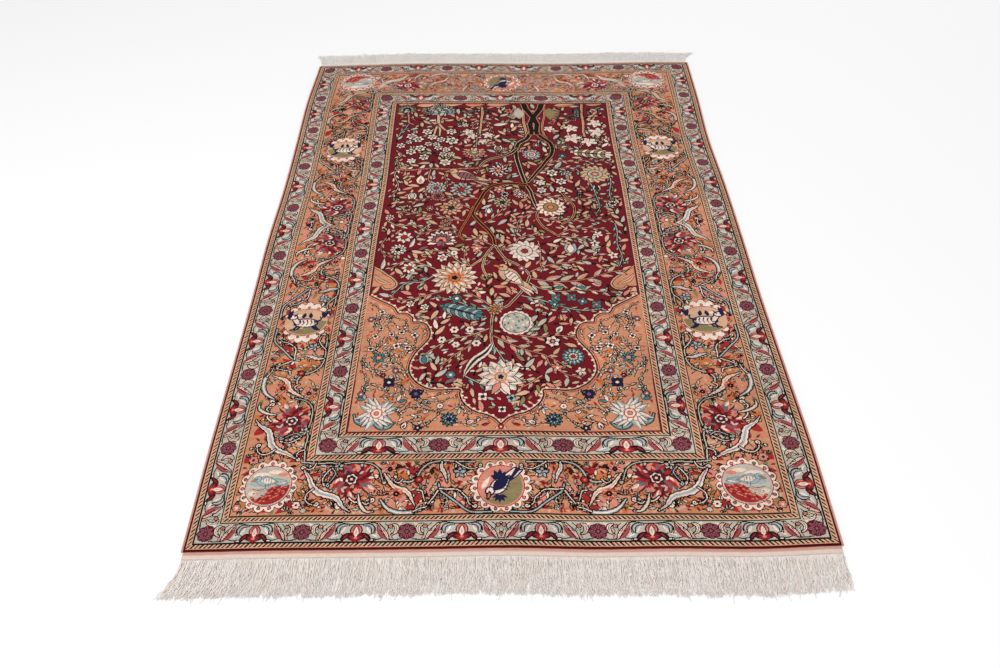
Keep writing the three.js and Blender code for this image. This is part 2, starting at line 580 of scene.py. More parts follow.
@dataclass(frozen=True)
class Spot:
    """One motif set down: its strokes, centre, radius in knots, turn in degrees, yarns and outline width."""

    motif: "Motif"
    x: float
    y: float
    size: float = 10.0
    turn: float = 0.0
    yarns: Tuple[Yarn, ...] = ()
    outline: float = 0.0
    flip: bool = False

    @property
    def up(self) -> float:
        """Say how far along the chart it stands."""
        return self.y

    def moved(self, shift: Callable[[float, float], float]) -> "Spot":
        """Give the same motif, moved across by shift."""
        return replace(self, x=self.x + shift(self.x, self.y))

    def draw(self, n: Needle) -> None:
        """Work the motif's strokes in turn.

        Args:
            n: Where it is worked from.
        """
        place = replace(n.at(self.x, self.y, self.turn, self.size / 10, self.flip),
                        yarns=self.yarns or n.yarns, outline=self.outline or n.outline)
        draw_rows(place, self.motif)


Stroke = Union[Oval, Leaf, Lobes, Ring, Stem, Blade, Spray, Branch, Spot]
Motif = Tuple[Stroke, ...]


def spots(motif: Motif, yarns: Tuple[Yarn, ...], *places: Tuple[float, float, float, float]) -> Motif:
    """Set one motif down in the same yarns at several places, each given as x, y, radius and turn."""
    return tuple(Spot(motif, *place, yarns) for place in places)


def sprays(style: Spray, *paths: Path) -> Motif:
    """Set one leafy stem down along several paths."""
    return tuple(replace(style, stops=stops) for stops in paths)


def outline_at(y: float) -> float:
    """Say how wide outlines are at a row: wider up the field, which is drawn darker, and thin past it."""
    return 1.5 + 1.2 * max(y - 500, 0) / 800 if y < FIELD_TOP else 0.9


def draw_rows(needle: Needle, rows: Iterable[Stroke]) -> None:
    """Work every row of a table in turn."""
    for row in rows:
        row.draw(needle)


def draw_field_rows(needle: Needle, rows: Iterable[Stroke]) -> None:
    """Work every row of a table, settled onto the field and with the outline of its place."""
    for row in rows:
        row.moved(settle).draw(replace(needle, outline=outline_at(row.up)))


# Motifs, each worked about its own centre with a radius of 10, upright ones growing along +v

BLOSSOM = (Lobes(10, 6, A, depth=0.34), disc(3.2, B, None))
QUATREFOIL = (Ring(4, 0, 11, 9, A, start=45), disc(2.6, B))
DAISY = (Ring(8, 1, 10, 5, A), disc(3.2, B))
STAR = (Ring(5, 0, 11, 6, A, start=90), disc(2.6, B, None))
SPIKY = (Ring(11, 2, 11, 5, A, second=B), Ring(7, 1, 6.8, 3.6, C, start=12, second=A), Lobes(2.8, 5, D))
ROUND_ROSE = (disc(11.2, BLACK, None), Ring(6, 2, 10.4, 7.4, A, start=20), Lobes(5, 6, B, None),
              Lobes(2.4, 5, C, None))
WHEEL = (Ring(13, 2.5, 11, 5.6, A), Ring(13, 5, 9, 1.1, B, None), disc(5, C),
         Ring(9, 1.8, 4.6, 1.5, B, None), disc(1.9, D))
GREAT_ROSE = (
    *(Blade(((0, -6), (way * 5, -9), (way * 10, -8), (way * 13, -4)), 2.8, TEAL, B) for way in (-1, 1)),
    *(Leaf(0, 0, 24 * k + 6, 11.5 + k % 3, 3.6, A, (BLACK, TEAL)[k % 2], 3.5 - k % 4 * 2, second=B)
      for k in range(15)),
    Ring(9, 2, 6.8, 3, A, TEAL, 10),
    Lobes(4.2, 7, D, None),
    disc(3.1, A, C),
    disc(1.2, D, C),
)
SPECKLED = (
    Lobes(10.3, 16, A, depth=0.1),
    disc(8.2, B),
    *(Spot((Leaf(radius, -1.2, 65, 2.6, 1.3, (C, D)[k % 2], None),), 0, 0, turn=360 / count * k + radius * 20)
      for radius, count in ((6.6, 11), (4.2, 7), (1.7, 3)) for k in range(count)),
)
ROSETTE = (Lobes(10.4, 8, A, None, 0.14), Ring(8, 3, 10, 3.6, B, None), Ring(8, 4.4, 8.8, 1.4, C, None),
           Ring(8, 1, 5.4, 1.6, C, None, 22.5), disc(1.6, B, None))
# A wide soft flower of close leaves, set round at the golden angle, with light flecks and a ringed heart
GOLDEN = 137.5
SOFT_ROSE = (
    Lobes(8.4, 9, B, None, 0.2),
    *(Spot((Leaf(2.6 + 6.6 * math.sqrt(k / 66), 0, 40 * math.sin(2.4 * k), 4.4, 2.2,
                 (A, B, PINK, A, MAUVE, A, B)[k % 7], None),), 0, 0, turn=GOLDEN * k) for k in range(66)),
    *(Spot((Leaf(5.5 + 4.5 * (k % 3) / 2, 0, 70 * math.sin(1.9 * k), 3.6, 1.5,
                 (SAGE, C, TEAL, PINK)[k % 4], None),), 0, 0, turn=GOLDEN * k + 20) for k in range(13)),
    Lobes(3.5, 6, C),
    Lobes(1.9, 5, B),
    disc(0.8, C, None),
)
TULIP = (Leaf(0, -9, 66, 20, 9, A, bend=3), Leaf(0, -9, 114, 20, 9, A, bend=-3), Leaf(0, -8, 90, 17, 8, B))
BUD = (Leaf(0, -9, 50, 10, 4, A), Leaf(0, -9, 130, 10, 4, A), Leaf(0, -9, 90, 19, 11, A),
       Leaf(0, -8, 90, 12, 5, B, None))
FOLIAGE = (Leaf(-10, 0, 0, 20, 7, A, bend=2, second=B),)
SOFT_LEAF = (Leaf(-10, 0, 0, 20, 8, A, None, 2.4, second=B),)
SAZ_LEAF = (Leaf(-10, 0, 0, 21, 7, A, bend=5, teeth=3, second=B),)
LEAF_PAIR = (Leaf(0, -7, 50, 16, 6, A, bend=2), Leaf(0, -7, 128, 16, 6, B, bend=-2))
FEATHER = (
    Stem(((-11, 0), (-4, 0.6), (4, 0.6), (10, 0)), 1.2, A, BLACK),
    *(Leaf(-9.4 + 2.05 * k, way * 0.4, way * 46, size, 2, (A, B)[k % 2], bend=-way * size * 0.15)
      for k in range(9) for size in (2.2 + 4.2 * math.sin(math.pi * (k + 1.5) / 11),) for way in (-1, 1)),
    Leaf(7, 0, 0, 4.5, 2, A),
)
MAPLE_POINTS = ((-34, 10), (26, 13), (90, 15), (154, 13), (214, 10))  # turn and length
MAPLE = (
    *(Leaf(0, -3, turn, length, 9.5, A, teeth=length / 3) for turn, length in MAPLE_POINTS),
    Oval(0, -1.5, 4.6, 4.6, A, None),
    *(Leaf(0, -3, turn, length * 0.7, 1.3, B, None) for turn, length in MAPLE_POINTS),
    Stem(((0, -9.5), (0, -3)), 1.2),
)
PALMETTE = (
    Ring(11, 3, 13, 5, A, start=-26, sweep=232, y=-3),
    Ring(9, 1, 9.4, 4, B, start=-14, sweep=208, y=-3),
    Lobes(4.8, 7, C, depth=0.2, y=-3.2),
    Oval(0, -3.4, 2, 2, D, None),
    Leaf(0, -4, -70, 8, 4, B),
    Leaf(0, -4, -110, 8, 4, B),
)
HALF_FAN = (*(Leaf(-1, -9 + 2.2 * k, 152 - 5 * k, 8.5, 3, (B, A)[k % 2]) for k in range(9)),
            Leaf(2, -11, 90, 22, 9, A, None, 1))
SCROLL = (Stem(((-9, -4), (-3, -6), (4, -3), (5, 4), (0, 7), (-3, 3)), 2, A, B),
          Leaf(-5, -5, 120, 7, 3.4, A, B), Leaf(5, -1, -10, 7, 3.4, A, B))
# A standing bird that looks to the left, its wing barred and its tail long
BIRD = (
    *(Leaf(3, -0.5, turn, 18 - k, 3.4, (A, B)[k % 2], C) for k, turn in enumerate((-30, -22, -14))),
    Leaf(-9, 3, -18, 20, 10, A, C),
    Oval(-7.2, 4.4, 2.9, 2.6, A, C),
    Leaf(-8.6, 4.2, 192, 5, 1.8, OCHRE, C),
    Leaf(-4.6, 2.2, -20, 14, 6, B, C),
    *(Stem(((x, 2.6 - x * 0.34), (x - 0.9, -1.2 - x * 0.34)), 0.7, C) for x in (-2.2, 0.2, 2.6, 5)),
    Oval(-7.8, 4.8, 0.7, 0.7, C, None),
    *(Stem(((x, -3), (x - 0.5, -7)), 0.9, C) for x in (-1, 2)),
)
# A small four-legged animal that runs to the left, pale with dark lines, its head turned up, before bushes
BEAST = (
    *(Stem(((foot, -1), (knee, -4.6), (toe, -6.4)), 2, B)
      for foot, knee, toe in ((-5, -7.4, -10), (-3.4, -4.6, -7.4), (4.6, 6.4, 9.6), (6, 8.4, 11))),
    Oval(0, 0.6, 7.6, 3.5, A, B),
    Stem(((-6, 1.4), (-8.4, 4.2), (-9.4, 6)), 3.4, A, B),
    Oval(-10.2, 6.4, 2.7, 1.9, A, B),
    Stem(((-9, 7.4), (-7, 9.6)), 1.3, B),
    Stem(((7, 1.6), (10.4, 3.6), (9.6, 6.4)), 1.6, B),
    *(Stem(((x, 0.6 + size * 1.6), (x + 0.9, 0.6), (x, 0.6 - size * 1.5)), 1, B)
      for x, size in ((-5, 1), (-2.4, 1.4), (0.6, 1.5), (3.4, 1.4), (5.8, 1))),
    *(Leaf(x, 5, turn, length, 3, B, None)
      for x, turn, length in ((-12, 100, 8), (-14, 70, 10), (11, 60, 9), (13, 110, 8), (-3, 75, 6),
                              (3, 100, 6))),
)


def dahlia(count: int) -> Motif:
    """Make a full flower of three rings of narrow petals about a disc.

    Args:
        count: How many petals its outer ring has.

    Returns:
        The motif.
    """
    return (
        Ring(count, 3, 11.3, 66 / count, A, second=B),
        Ring(count - 4, 2, 8.4, 44 / count, B, start=11, second=A),
        Ring(11, 1, 6, 2.5, C, None, 4, second=A),
        Lobes(2.8, 7, C, BRICK, 0.2),
        Lobes(1.6, 5, D, None),
    )


# Borders

@dataclass(frozen=True)
class Stripe:
    """One stripe: where it starts in from the near end and from a side, and its ground and dash yarns."""

    end: float
    side: float
    ground: Yarn
    dash: Optional[Yarn] = None


STRIPES = (
    Stripe(0, 0, BLACK),
    Stripe(1.9, 2.3, BRICK),
    Stripe(2.9, 3.4, BEIGE, MAROON),
    Stripe(10.5, 12.5, BLACK),
    Stripe(13, 15, SAGE),
    Stripe(47, 50, GREEN),
    Stripe(49, 52.5, BEIGE, MAROON),
    Stripe(58.5, 62, BLACK),
    Stripe(61, 64.5, ORANGE),
    Stripe(164, 175.5, GREEN),
    Stripe(166.5, 178, BEIGE, BRICK),
    Stripe(176, 189.5, GREEN),
    Stripe(178.5, 192, SAGE),
    Stripe(213, 226.5, BLACK),
    Stripe(215, 229, BEIGE, BRICK),
    Stripe(222.5, 239, MAROON),
    Stripe(225, 244, CRIMSON),
)
FAR_SHARE = 236 / 225  # the far end's stripes are this much deeper than the near end's
DASH_PITCH = 7.5
DASH_LENGTH = 3.8
DASH_DEPTH = 0.66  # how much of the stripe's width a dash takes up


def mirrored(stops: Path, way: int) -> Path:
    """Give a path with its places across times way, 1 or -1."""
    return tuple((way * x, y) for x, y in stops)


# A guard stripe's palmette: legs, drooping wings, a wide scalloped base, a dome and a cream flame
PALMETTE_LEG = ((28, 2), (22, 2.5), (18, 7), (13, 12))
PALMETTE_WING = ((4, 9), (12, 11), (18, 7), (22, 3))
GUARD_PALMETTE = (
    *(limb for way in (1, -1) for limb in (Stem(mirrored(PALMETTE_LEG, way), 2, CREAM, BLACK, 1),
                                           Blade(mirrored(PALMETTE_WING, way), 5, MAROON, BRICK))),
    Oval(0, 19, 8, 9, PINK, MAROON),
    Oval(0, 20, 6, 7.5, MAUVE, None),
    Lobes(13, 11, MAROON, depth=0.14, y=8, tall=0.52),
    Ring(7, 3, 10.5, 3, BRICK, None, 180, 180, y=8),
    Leaf(0, 8, 90, 18, 7.4, CREAM, BRICK),
    Leaf(0, 11, 90, 11, 3.4, SAGE, None),
    Oval(0, 6, 3, 1.8, PINK, None),
)

# From a guard stripe's rosette to its palmette, in knots along it and in from its outer line
LEFT_HALF = (0, 0, HALF, KNOTS_ALONG)
GUARD_LENGTH = 82
GUARD_ROWS = (
    Spot(SOFT_LEAF, 15, 30, 7, -30, (CREAM, SAGE)),
    Spot(SOFT_LEAF, 62, 21, 9, 50, (CREAM, BLUE)),
    Spot(SOFT_LEAF, 54, 9, 8, 20, (BLUE, CREAM)),
    Spot(SOFT_LEAF, 68, 31, 7, 0, (BLUE, SAGE)),
    Stem(((8, 3), (20, 2.2), (33, 3)), 2.2, GREEN, None, 1.0),
    Stem(((27, 6), (31, 14), (27, 23), (30, 31)), 1.5, OLIVE),
    Stem(((47, 31), (56, 33), (70, 30.5), (82, 30)), 2.0, BLACK, None, 1.0),
    Stem(((40, 5), (50, 2.5), (60, 4)), 2.0, GREEN, None, 1.0),
    Stem(((52, 12), (51, 22), (57, 30), (68, 31)), 1.6, BLACK),
    Blade(((56, 14), (55, 22), (60, 28), (70, 29)), 3.4, BLUE, SAGE, BLACK),
    Blade(((23, 30), (17, 25), (18, 16), (24, 11)), 5.0, CREAM, OLIVE, BLACK),
    Stem(((24, 12), (26, 18), (22, 22)), 1.4, BLACK),
    Spot(BLOSSOM, 27, 26, 2.8, 0, (PINK, BRICK)),
    Spot(SOFT_LEAF, 24, 6, 4, 60, (PINK, BRICK)),
    Blade(((33, 4), (40, 10), (46, 19), (50, 30)), 8, BRICK, MAUVE, None, 5),
    Blade(((29, 3), (33, 12), (40, 22), (47, 31)), 4.6, CREAM, PINK, BLACK, 4.0),
    Stem(((36, 31), (31, 26), (32, 19), (37, 18), (37, 23)), 1.5, BLACK, None, 1.0),
    Stem(((60, 12), (66, 8), (64, 2)), 1.5, BLACK, None, 1.0),
    Spot(ROSETTE, 0, 16.5, 14.2, 0, (MAROON, MAUVE, MAROON)),
    Spot(GUARD_PALMETTE, GUARD_LENGTH, 0),
)


@dataclass(frozen=True)
class GuardRun:
    """A guard stripe's run: its foot, its ways along and inwards, and its stops from rosette to palmette."""

    foot: Point
    along: Point
    inward: Point
    stops: Tuple[float, ...]
    outline: float = 1.8

    def draw(self, chart: KnotChart) -> None:
        """Work the halves from stop to stop, every second one turned round, as far as the rug's middle.

        Args:
            chart: The chart to work on.
        """
        a, b = self.along
        for k, (start, end) in enumerate(zip(self.stops, self.stops[1:])):
            origin, far = (end, start) if k % 2 else (start, end)
            pace = (far - origin) / GUARD_LENGTH
            place = (self.foot[0] + a * origin, self.foot[1] + b * origin)
            needle = Needle(chart, *place, (a * pace, b * pace), self.inward, LEFT_HALF, outline=self.outline)
            draw_rows(needle, GUARD_ROWS)


OUTER_END_STOPS = (30, 112, 191, 281, 364, 453, 540)
INNER_END_STOPS = (212, 303, 409, 515)
OUTER_SIDE_STOPS = tuple(np.linspace(30, 1518, 19))
INNER_SIDE_STOPS = tuple(np.linspace(198, 1350, 15))
GUARD_RUNS = (
    GuardRun((15, 0), (0, 1), (1.03, 0), OUTER_SIDE_STOPS),
    GuardRun((192, 0), (0, 1), (1.02, 0), INNER_SIDE_STOPS),
    GuardRun((0, 13), (1, 0), (0, 1), OUTER_END_STOPS),
    GuardRun((0, 179), (1, 0), (0, 1), INNER_END_STOPS),
    GuardRun((0, KNOTS_ALONG - 13 * FAR_SHARE), (1, 0), (0, -FAR_SHARE), OUTER_END_STOPS),
    GuardRun((0, KNOTS_ALONG - 179 * FAR_SHARE), (1, 0), (0, -FAR_SHARE), INNER_END_STOPS),
)

# The main border's repeat, from a corner medallion's centre to the next medallion, and in from its outer line
REPEAT_FOOT = (121, 61)
REPEAT_ROWS = (
    Spot(SOFT_ROSE, 262, 128, 29, 18, (BRICK, MAROON, CREAM)),
    Spot(SOFT_LEAF, 288, 106, 10, -50, (MAROON, PINK)),
    Spot(SOFT_LEAF, 297, 112, 8, -40, (CREAM, SAGE)),
    Spot(SOFT_LEAF, 262, 96, 9, -80, (PINK, CREAM)),
    Spot(SOFT_LEAF, 234, 106, 8, -120, (TEAL, PINK)),
    Spot(SOFT_LEAF, 290, 146, 8, 50, (MAROON, PINK)),
    # Light vines with curled leaflets, and long leaves
    Spray(((170, 163), (190, 161), (206, 160), (222, 161), (240, 158), (262, 161), (285, 160), (299, 155),
           (309, 145), (314, 131), (317, 122)), 2.2, SAGE, 7, 9, (CREAM, BLUE), BLACK, hook=6),
    Spray(((228, 154), (219, 143), (212, 130), (214, 120)), 1.8, CREAM, 8, 7, (CREAM, BLUE), BLACK, hook=8),
    Spray(((226, 150), (233, 140), (228, 128), (222, 120)), 1.8, BLUE, 8, 7, (CREAM, SAGE), BLACK, hook=8),
    Blade(((178, 146), (188, 131), (195, 116), (206, 104), (222, 98), (238, 93), (247, 83), (253, 75),
           (266, 66)), 12, CREAM, BLUE, BLACK, 11),
    Stem(((178, 148), (188, 131), (196, 116), (210, 103)), 1.6, MAUVE),
    Spray(((198, 110), (189, 101), (187, 90), (194, 82), (204, 79)), 2.0, CREAM, 8, 7, (CREAM, BLUE), BLACK,
          hook=9),
    Spray(((196, 160), (192, 151), (184, 148), (178, 152)), 1.6, CREAM, 7, 7, (CREAM, BLUE), BLACK, hook=8),
    Spot(BLOSSOM, 173, 79, 7, 0, (CREAM, MAROON)),
    Spot(STAR, 238, 153, 8, 10, (SAGE, BLACK)),
    Spray(((262, 92), (272, 84), (284, 84), (291, 80), (300, 84)), 2.2, CREAM, 8, 7, (CREAM, BLUE), BLACK, 9),
    Blade(((277, 98), (280, 84), (286, 73), (294, 66), (305, 66)), 6, SAGE, CREAM, BLACK, 8),
    Blade(((318, 138), (330, 120), (341, 110), (354, 106), (363, 98), (368, 88), (374, 76)),
          9, CREAM, BEIGE, BLACK, 10),
    Blade(((315, 88), (328, 72), (346, 64), (366, 64), (385, 70), (401, 78)), 7.5, BLUE, CREAM, BLACK, 9),
    Spray(((372, 66), (384, 72), (393, 74), (402, 82)), 1.8, CREAM, 9, 6, (CREAM, BLUE), BLACK, hook=8),
    Spray(((376, 106), (384, 104), (387, 94), (391, 82)), 1.8, CREAM, 7, 8, (CREAM, SAGE), BLACK, hook=6),
    Spray(((412, 106), (404, 92), (395, 79)), 2.0, CREAM, 8, 8, (CREAM, SAGE), BLACK),
    Stem(((412, 117), (416, 104), (429, 93), (445, 80), (456, 70), (470, 63), (500, 63)),
         2.8, BLUE, BLACK, 0.8),
    Spray(((414, 108), (427, 107), (443, 106), (452, 99), (458, 90), (464, 81)), 1.8, CREAM, 7, 8,
          (SAGE, CREAM), BLACK),
    Spray(((452, 99), (460, 90), (463, 80), (470, 74)), 1.6, CREAM, 8, 6, (CREAM, BLUE), BLACK, hook=8),
    Spray(((350, 123), (363, 122), (373, 129), (381, 145), (391, 156), (404, 161), (420, 163), (446, 161),
           (472, 160)), 2.8, SAGE, 9, 8, (CREAM, BLUE), BLACK),
    Spray(((350, 127), (344, 120), (336, 124), (338, 130)), 1.6, CREAM, 6, 7, (CREAM, BLUE), BLACK, hook=5),
    Blade(((416, 161), (416, 148), (421, 138), (426, 120)), 7, CREAM, BLUE, BLACK, 8),
    Spray(((440, 161), (452, 152), (466, 146), (480, 150)), 1.6, CREAM, 7, 8, (CREAM, PINK), BLACK, hook=7),
    Spot(STAR, 447, 139, 10, 0, (BLUE, MAUVE)),
    Spot(BLOSSOM, 378, 126, 6, 0, (BRICK, PINK)),
    Spot(SOFT_ROSE, 327, 147, 8, 0, (PINK, BRICK, CREAM)),
    Spot(SOFT_ROSE, 341, 99, 10, 0, (OCHRE, BRICK, BEIGE)),
)


@dataclass(frozen=True)
class RepeatRun:
    """A run of the main border's repeat: its foot, its two axes and the columns and rows that it may fill."""

    foot: Point
    along: Point
    inward: Point
    clip: Box
    outline: float = 2.2

    def draw(self, chart: KnotChart) -> None:
        """Work the repeat so that its corner medallion's centre comes to the run's foot.

        Args:
            chart: The chart to work on.
        """
        (a, b), (p, q) = self.along, self.inward
        s, t = REPEAT_FOOT
        place = (self.foot[0] - s * a - t * p, self.foot[1] - s * b - t * q)
        needle = Needle(chart, *place, self.along, self.inward, self.clip, outline=self.outline)
        draw_rows(needle, REPEAT_ROWS)


SIDE_DEPTH = 111 / 103
TURNING_ROW = 790  # the row about which the sides are mirrored
REPEAT_RUNS = (
    RepeatRun((64.5, 118), (0, 0.94), (SIDE_DEPTH, 0), (64, 61, 176, 500)),
    RepeatRun((64.5, 858), (0, -0.93), (SIDE_DEPTH, 0), (64, 480, 176, TURNING_ROW)),
    RepeatRun((64.5, 722), (0, 0.93), (SIDE_DEPTH, 0), (64, TURNING_ROW, 176, 1100)),
    RepeatRun((64.5, 1438), (0, -0.88), (SIDE_DEPTH, 0), (64, 1090, 176, 1484)),
    RepeatRun((121, 61), (1, 0), (0, 1), (64, 61, HALF, 165)),
    RepeatRun((121, KNOTS_ALONG - 61 * FAR_SHARE), (1, 0), (0, -FAR_SHARE), (64, 1376, HALF, 1484), 1.2),
)


@dataclass(frozen=True)
class Hill:
    """The part of an oval below a wavy line that climbs to the right."""

    rx: float
    ry: float
    tone: Tone

    def distance(self, u: np.ndarray, v: np.ndarray) -> np.ndarray:
        """Measure from the hill: the deeper of the oval's distance and the height over the wavy line.

        Args:
            u: How far to the right.
            v: How far up.

        Returns:
            The distance, below zero inside.
        """
        oval = (np.hypot(u / self.rx, v / self.ry) - 1) * min(self.rx, self.ry)
        rise = 0.55 * u / self.rx - 0.3 + 0.16 * np.sin(5.5 * u / self.rx) + 0.05 * np.sin(17 * u / self.rx)
        return np.maximum(oval + 1, v - self.ry * rise)

    def draw(self, n: Needle) -> None:
        """Work the hill."""
        n.work((-self.rx, -self.ry, self.rx, self.ry), self.distance, self.tone)


SCALLOPS = 15


def medallion(rx: float, ry: float, upper: Yarn, lower: Yarn, *picture: Stroke) -> Motif:
    """Make a medallion: dotted scallops about an oval of two colours that meet along a low hill.

    Args:
        rx: The oval's half-width across.
        ry: Its half-width along.
        upper: The yarn above the hill.
        lower: The hill's yarn.
        picture: The strokes of what stands in it.

    Returns:
        The motif.
    """
    dots = (math.radians(90 + 360 / SCALLOPS * k) for k in range(SCALLOPS))
    return (
        Lobes(rx + 13, SCALLOPS, CREAM, depth=0.16, turn=90, tall=(ry + 11) / (rx + 11)),
        *(Oval((rx + 6.6) * math.cos(turn), (ry + 6.6) * math.sin(turn), 1.9, 1.9, (PINK, OLIVE)[k % 2],
               MAROON) for k, turn in enumerate(dots)),
        Oval(0, 0, rx + 1.5, ry + 1.5, upper, BRICK),
        Hill(rx, ry, lower),
        *picture,
    )


# In the corners a pale sky with a grey bird over red rocks
ROCKS = tuple((k, 5.4 * (k % 11) - 27 + 2.7 * (k // 11 % 2)) for k in range(44))  # number and place across
CORNER_MEDALLION = medallion(
    38, 37, SAGE, BRICK,
    *(Oval(*cloud, None) for cloud in ((-14, 20, 15, 6, CREAM), (-22, 4, 10, 5, BLUE), (8, 27, 12, 4, CREAM),
                                       (22, 22, 9, 4, PINK), (-26, -14, 6, 4, CREAM))),
    *(Leaf(x, -27 + 6.6 * (k // 11) + 0.4 * x, 25 + 30 * math.sin(2.7 * k), 6, 2.2,
           (PINK, MAROON, ORANGE, PINK)[k % 4], None) for k, x in ROCKS),
    Spot(BIRD, -5, 9, 19, 14, (BLUE, CREAM, TEAL), 1.0),
    Stem(((-26, -6), (-14, -8), (-2, -4)), 1.6, MAUVE),
)
# At the sides an animal on olive grass under a pink sky, between dark bushes
SIDE_MEDALLION = medallion(
    42, 34, BEIGE, OLIVE,
    Leaf(-36, 14, 10, 32, 8, CREAM, None),
    Leaf(40, -2, 170, 22, 8, OLIVE, None),
    Spot(BEAST, 0, -4, 28, 0, (CREAM, NAVY), 2.4),
)
# At the middle of the ends a dark and light bird between pink and olive
END_MEDALLION = medallion(
    37, 38, PINK, OLIVE,
    Oval(18, 4, 17, 26, OLIVE, None),
    Leaf(-32, -6, 60, 28, 8, CREAM, None),
    *(Leaf(-2, 12, turn, length, 9, NAVY, None)
      for turn, length in ((150, 18), (118, 22), (88, 22), (58, 19), (30, 14))),
    Spot(BIRD, -2, 1, 23, 66, (CREAM, NAVY, NAVY), 2.6),
    *(Leaf(-2, -18, turn, 15, 5.5, NAVY, None) for turn in (200, 235, 270, 305, 340)),
)
LEFT_MEDALLIONS = (
    Spot(CORNER_MEDALLION, 119, 117),
    Spot(CORNER_MEDALLION, 122, 1442, turn=180),
    Spot(SIDE_MEDALLION, 121, 491),
    Spot(SIDE_MEDALLION, 123, 1091, turn=180, flip=True),
    Spot(BLOSSOM, 83, 169, 8, 0, (PINK, NAVY)),
    Spot(BLOSSOM, 72, 76, 7, 0, (PINK, CREAM)),
    Spot(BLOSSOM, 84, 1384, 8, 0, (PINK, NAVY)),
)
MIDDLE_MEDALLIONS = (
    Spot(END_MEDALLION, HALF, 112),
    Spot(END_MEDALLION, HALF + 3, 1430, turn=180),
    Spot(BLOSSOM, HALF, 233, 5, 0, (BRICK, CREAM)),
)


# Growth by chance

@dataclass(frozen=True)
class Undergrowth:
    """Leafy stems grown over bare ground: how many are tried, their reach in knots, and their leaves."""

    tries: int
    shortest: float
    longest: float
    leaf: float
    step: float
    choices: Tuple[Tuple[Yarn, ...], ...]
    stem: Yarn = BLACK
    stem_rim: Optional[Yarn] = None
    pace: float = 4.0  # how far apart a path's points are, in knots

    def grow(self, needle: Needle, rng: np.random.Generator) -> None:
        """Grow each stem on a curving path until the ground ahead is taken, and leaf the long ones.

        Args:
            needle: What it is worked with: its clip is the box to fill and its over the ground's yarns.
            rng: Where the chances come from.
        """
        left, low, right, high = needle.clip
        pace = self.pace
        for _ in range(self.tries):
            x, y = rng.uniform(left + 4, right - 4), rng.uniform(low + 4, high - 4)
            heading, curl = rng.uniform(0, 2 * math.pi), rng.normal(0, 0.11)
            reach = rng.uniform(self.shortest, self.longest)
            path = [(x, y)]
            while len(path) * pace < reach and needle.chart.bare(x, y, 4, needle.over) > 0.8:
                heading += curl
                x, y = x + pace * math.cos(heading), y + pace * math.sin(heading)
                if not (left + 3 < x < right - 3 and low + 3 < y < high - 3):
                    break
                path.append((x, y))
            if len(path) * pace < self.shortest:
                continue
            yarns = self.choices[rng.integers(len(self.choices))]
            drawn = replace(needle, outline=outline_at(y))
            Spray(path[::2], 1.6, self.stem, self.leaf, self.step, yarns, self.stem_rim).draw(drawn)
            flower = (BUD, BLOSSOM, STAR)[rng.integers(3)]
            turn = math.degrees(heading) - 90
            Spot(flower, *path[-1], self.leaf / 2.6, turn, (yarns[0], yarns[-1])).draw(drawn)


@dataclass(frozen=True)
class Strewing:
    """What is strewn over ground still bare: a motif, its radius, how often it is tried and its yarns."""

    motif: Motif
    size: float
    tries: int
    choices: Tuple[Tuple[Yarn, ...], ...]
    bare: float = 0.93

    def grow(self, needle: Needle, rng: np.random.Generator) -> None:
        """Set motifs only where a square about the place is nearly all ground.

        Args:
            needle: What it is worked with: its clip is the box to fill and its over the ground's yarns.
            rng: Where the chances come from.
        """
        left, low, right, high = needle.clip
        for _ in range(self.tries):
            x, y = rng.uniform(left + 3, right - 3), rng.uniform(low + 3, high - 3)
            turn, yarns = rng.uniform(0, 360), self.choices[rng.integers(len(self.choices))]
            size = self.size * rng.uniform(0.85, 1.15)
            if needle.chart.bare(x, y, max(int(size * 0.62), 2), needle.over) > self.bare:
                Spot(self.motif, x, y, size, turn, yarns, outline_at(y)).draw(needle)


Growth = Union[Undergrowth, Strewing]
VINE_LEAVES = (SAGE, CREAM, OLIVE)
LEAF_PAIRS = ((BEIGE, CREAM), (SAGE, BEIGE), (BEIGE, PINK), (SAGE, OLIVE), (PINK, BEIGE), (BEIGE, OLIVE),
              (BEIGE, MAUVE))
FIELD_GROWTH = (
    Undergrowth(2200, 48, 120, 30, 15, LEAF_PAIRS, BEIGE, BLACK),
    Undergrowth(2600, 28, 60, 24, 12, LEAF_PAIRS, PINK, BLACK),
    Strewing(FOLIAGE, 12, 1800, LEAF_PAIRS, 0.88),
    Undergrowth(2000, 20, 36, 16, 10, LEAF_PAIRS),
    Strewing(FOLIAGE, 8, 1300, LEAF_PAIRS, 0.94),
    Strewing(SOFT_LEAF, 5, 1500, ((BEIGE, PINK), (CREAM, BEIGE), (OLIVE, BLACK), (SAGE, BEIGE)), 0.97),
)
SPANDREL_GROWTH = (
    Strewing(SOFT_LEAF, 12, 130, ((OCHRE, ORANGE), (OCHRE, OCHRE)), 0.9),
    Undergrowth(900, 26, 70, 12, 12, (VINE_LEAVES, (CREAM, OLIVE), (SAGE, CREAM))),
    Undergrowth(700, 14, 30, 9, 9, (VINE_LEAVES, (CREAM, OLIVE), (SAGE, CREAM))),
    Strewing(SOFT_LEAF, 5, 900, ((PINK, OCHRE), (OCHRE, MAUVE), (BRICK, PINK), (BEIGE, OLIVE)), 0.92),
)
BORDER_GROUNDS = (ORANGE, OCHRE, BRICK, PINK, BEIGE, MAUVE)
BORDER_PATCHES = (
    Strewing(SOFT_LEAF, 21, 130, ((OCHRE, OCHRE), (PINK, BEIGE), (OCHRE, PINK), (BRICK, OCHRE),
                                  (PINK, MAUVE)), 0.7),
    Strewing(SOFT_LEAF, 9, 300, ((BRICK, PINK), (OCHRE, BRICK), (PINK, MAUVE), (BEIGE, OCHRE),
                                 (OLIVE, OCHRE)), 0.6),
)
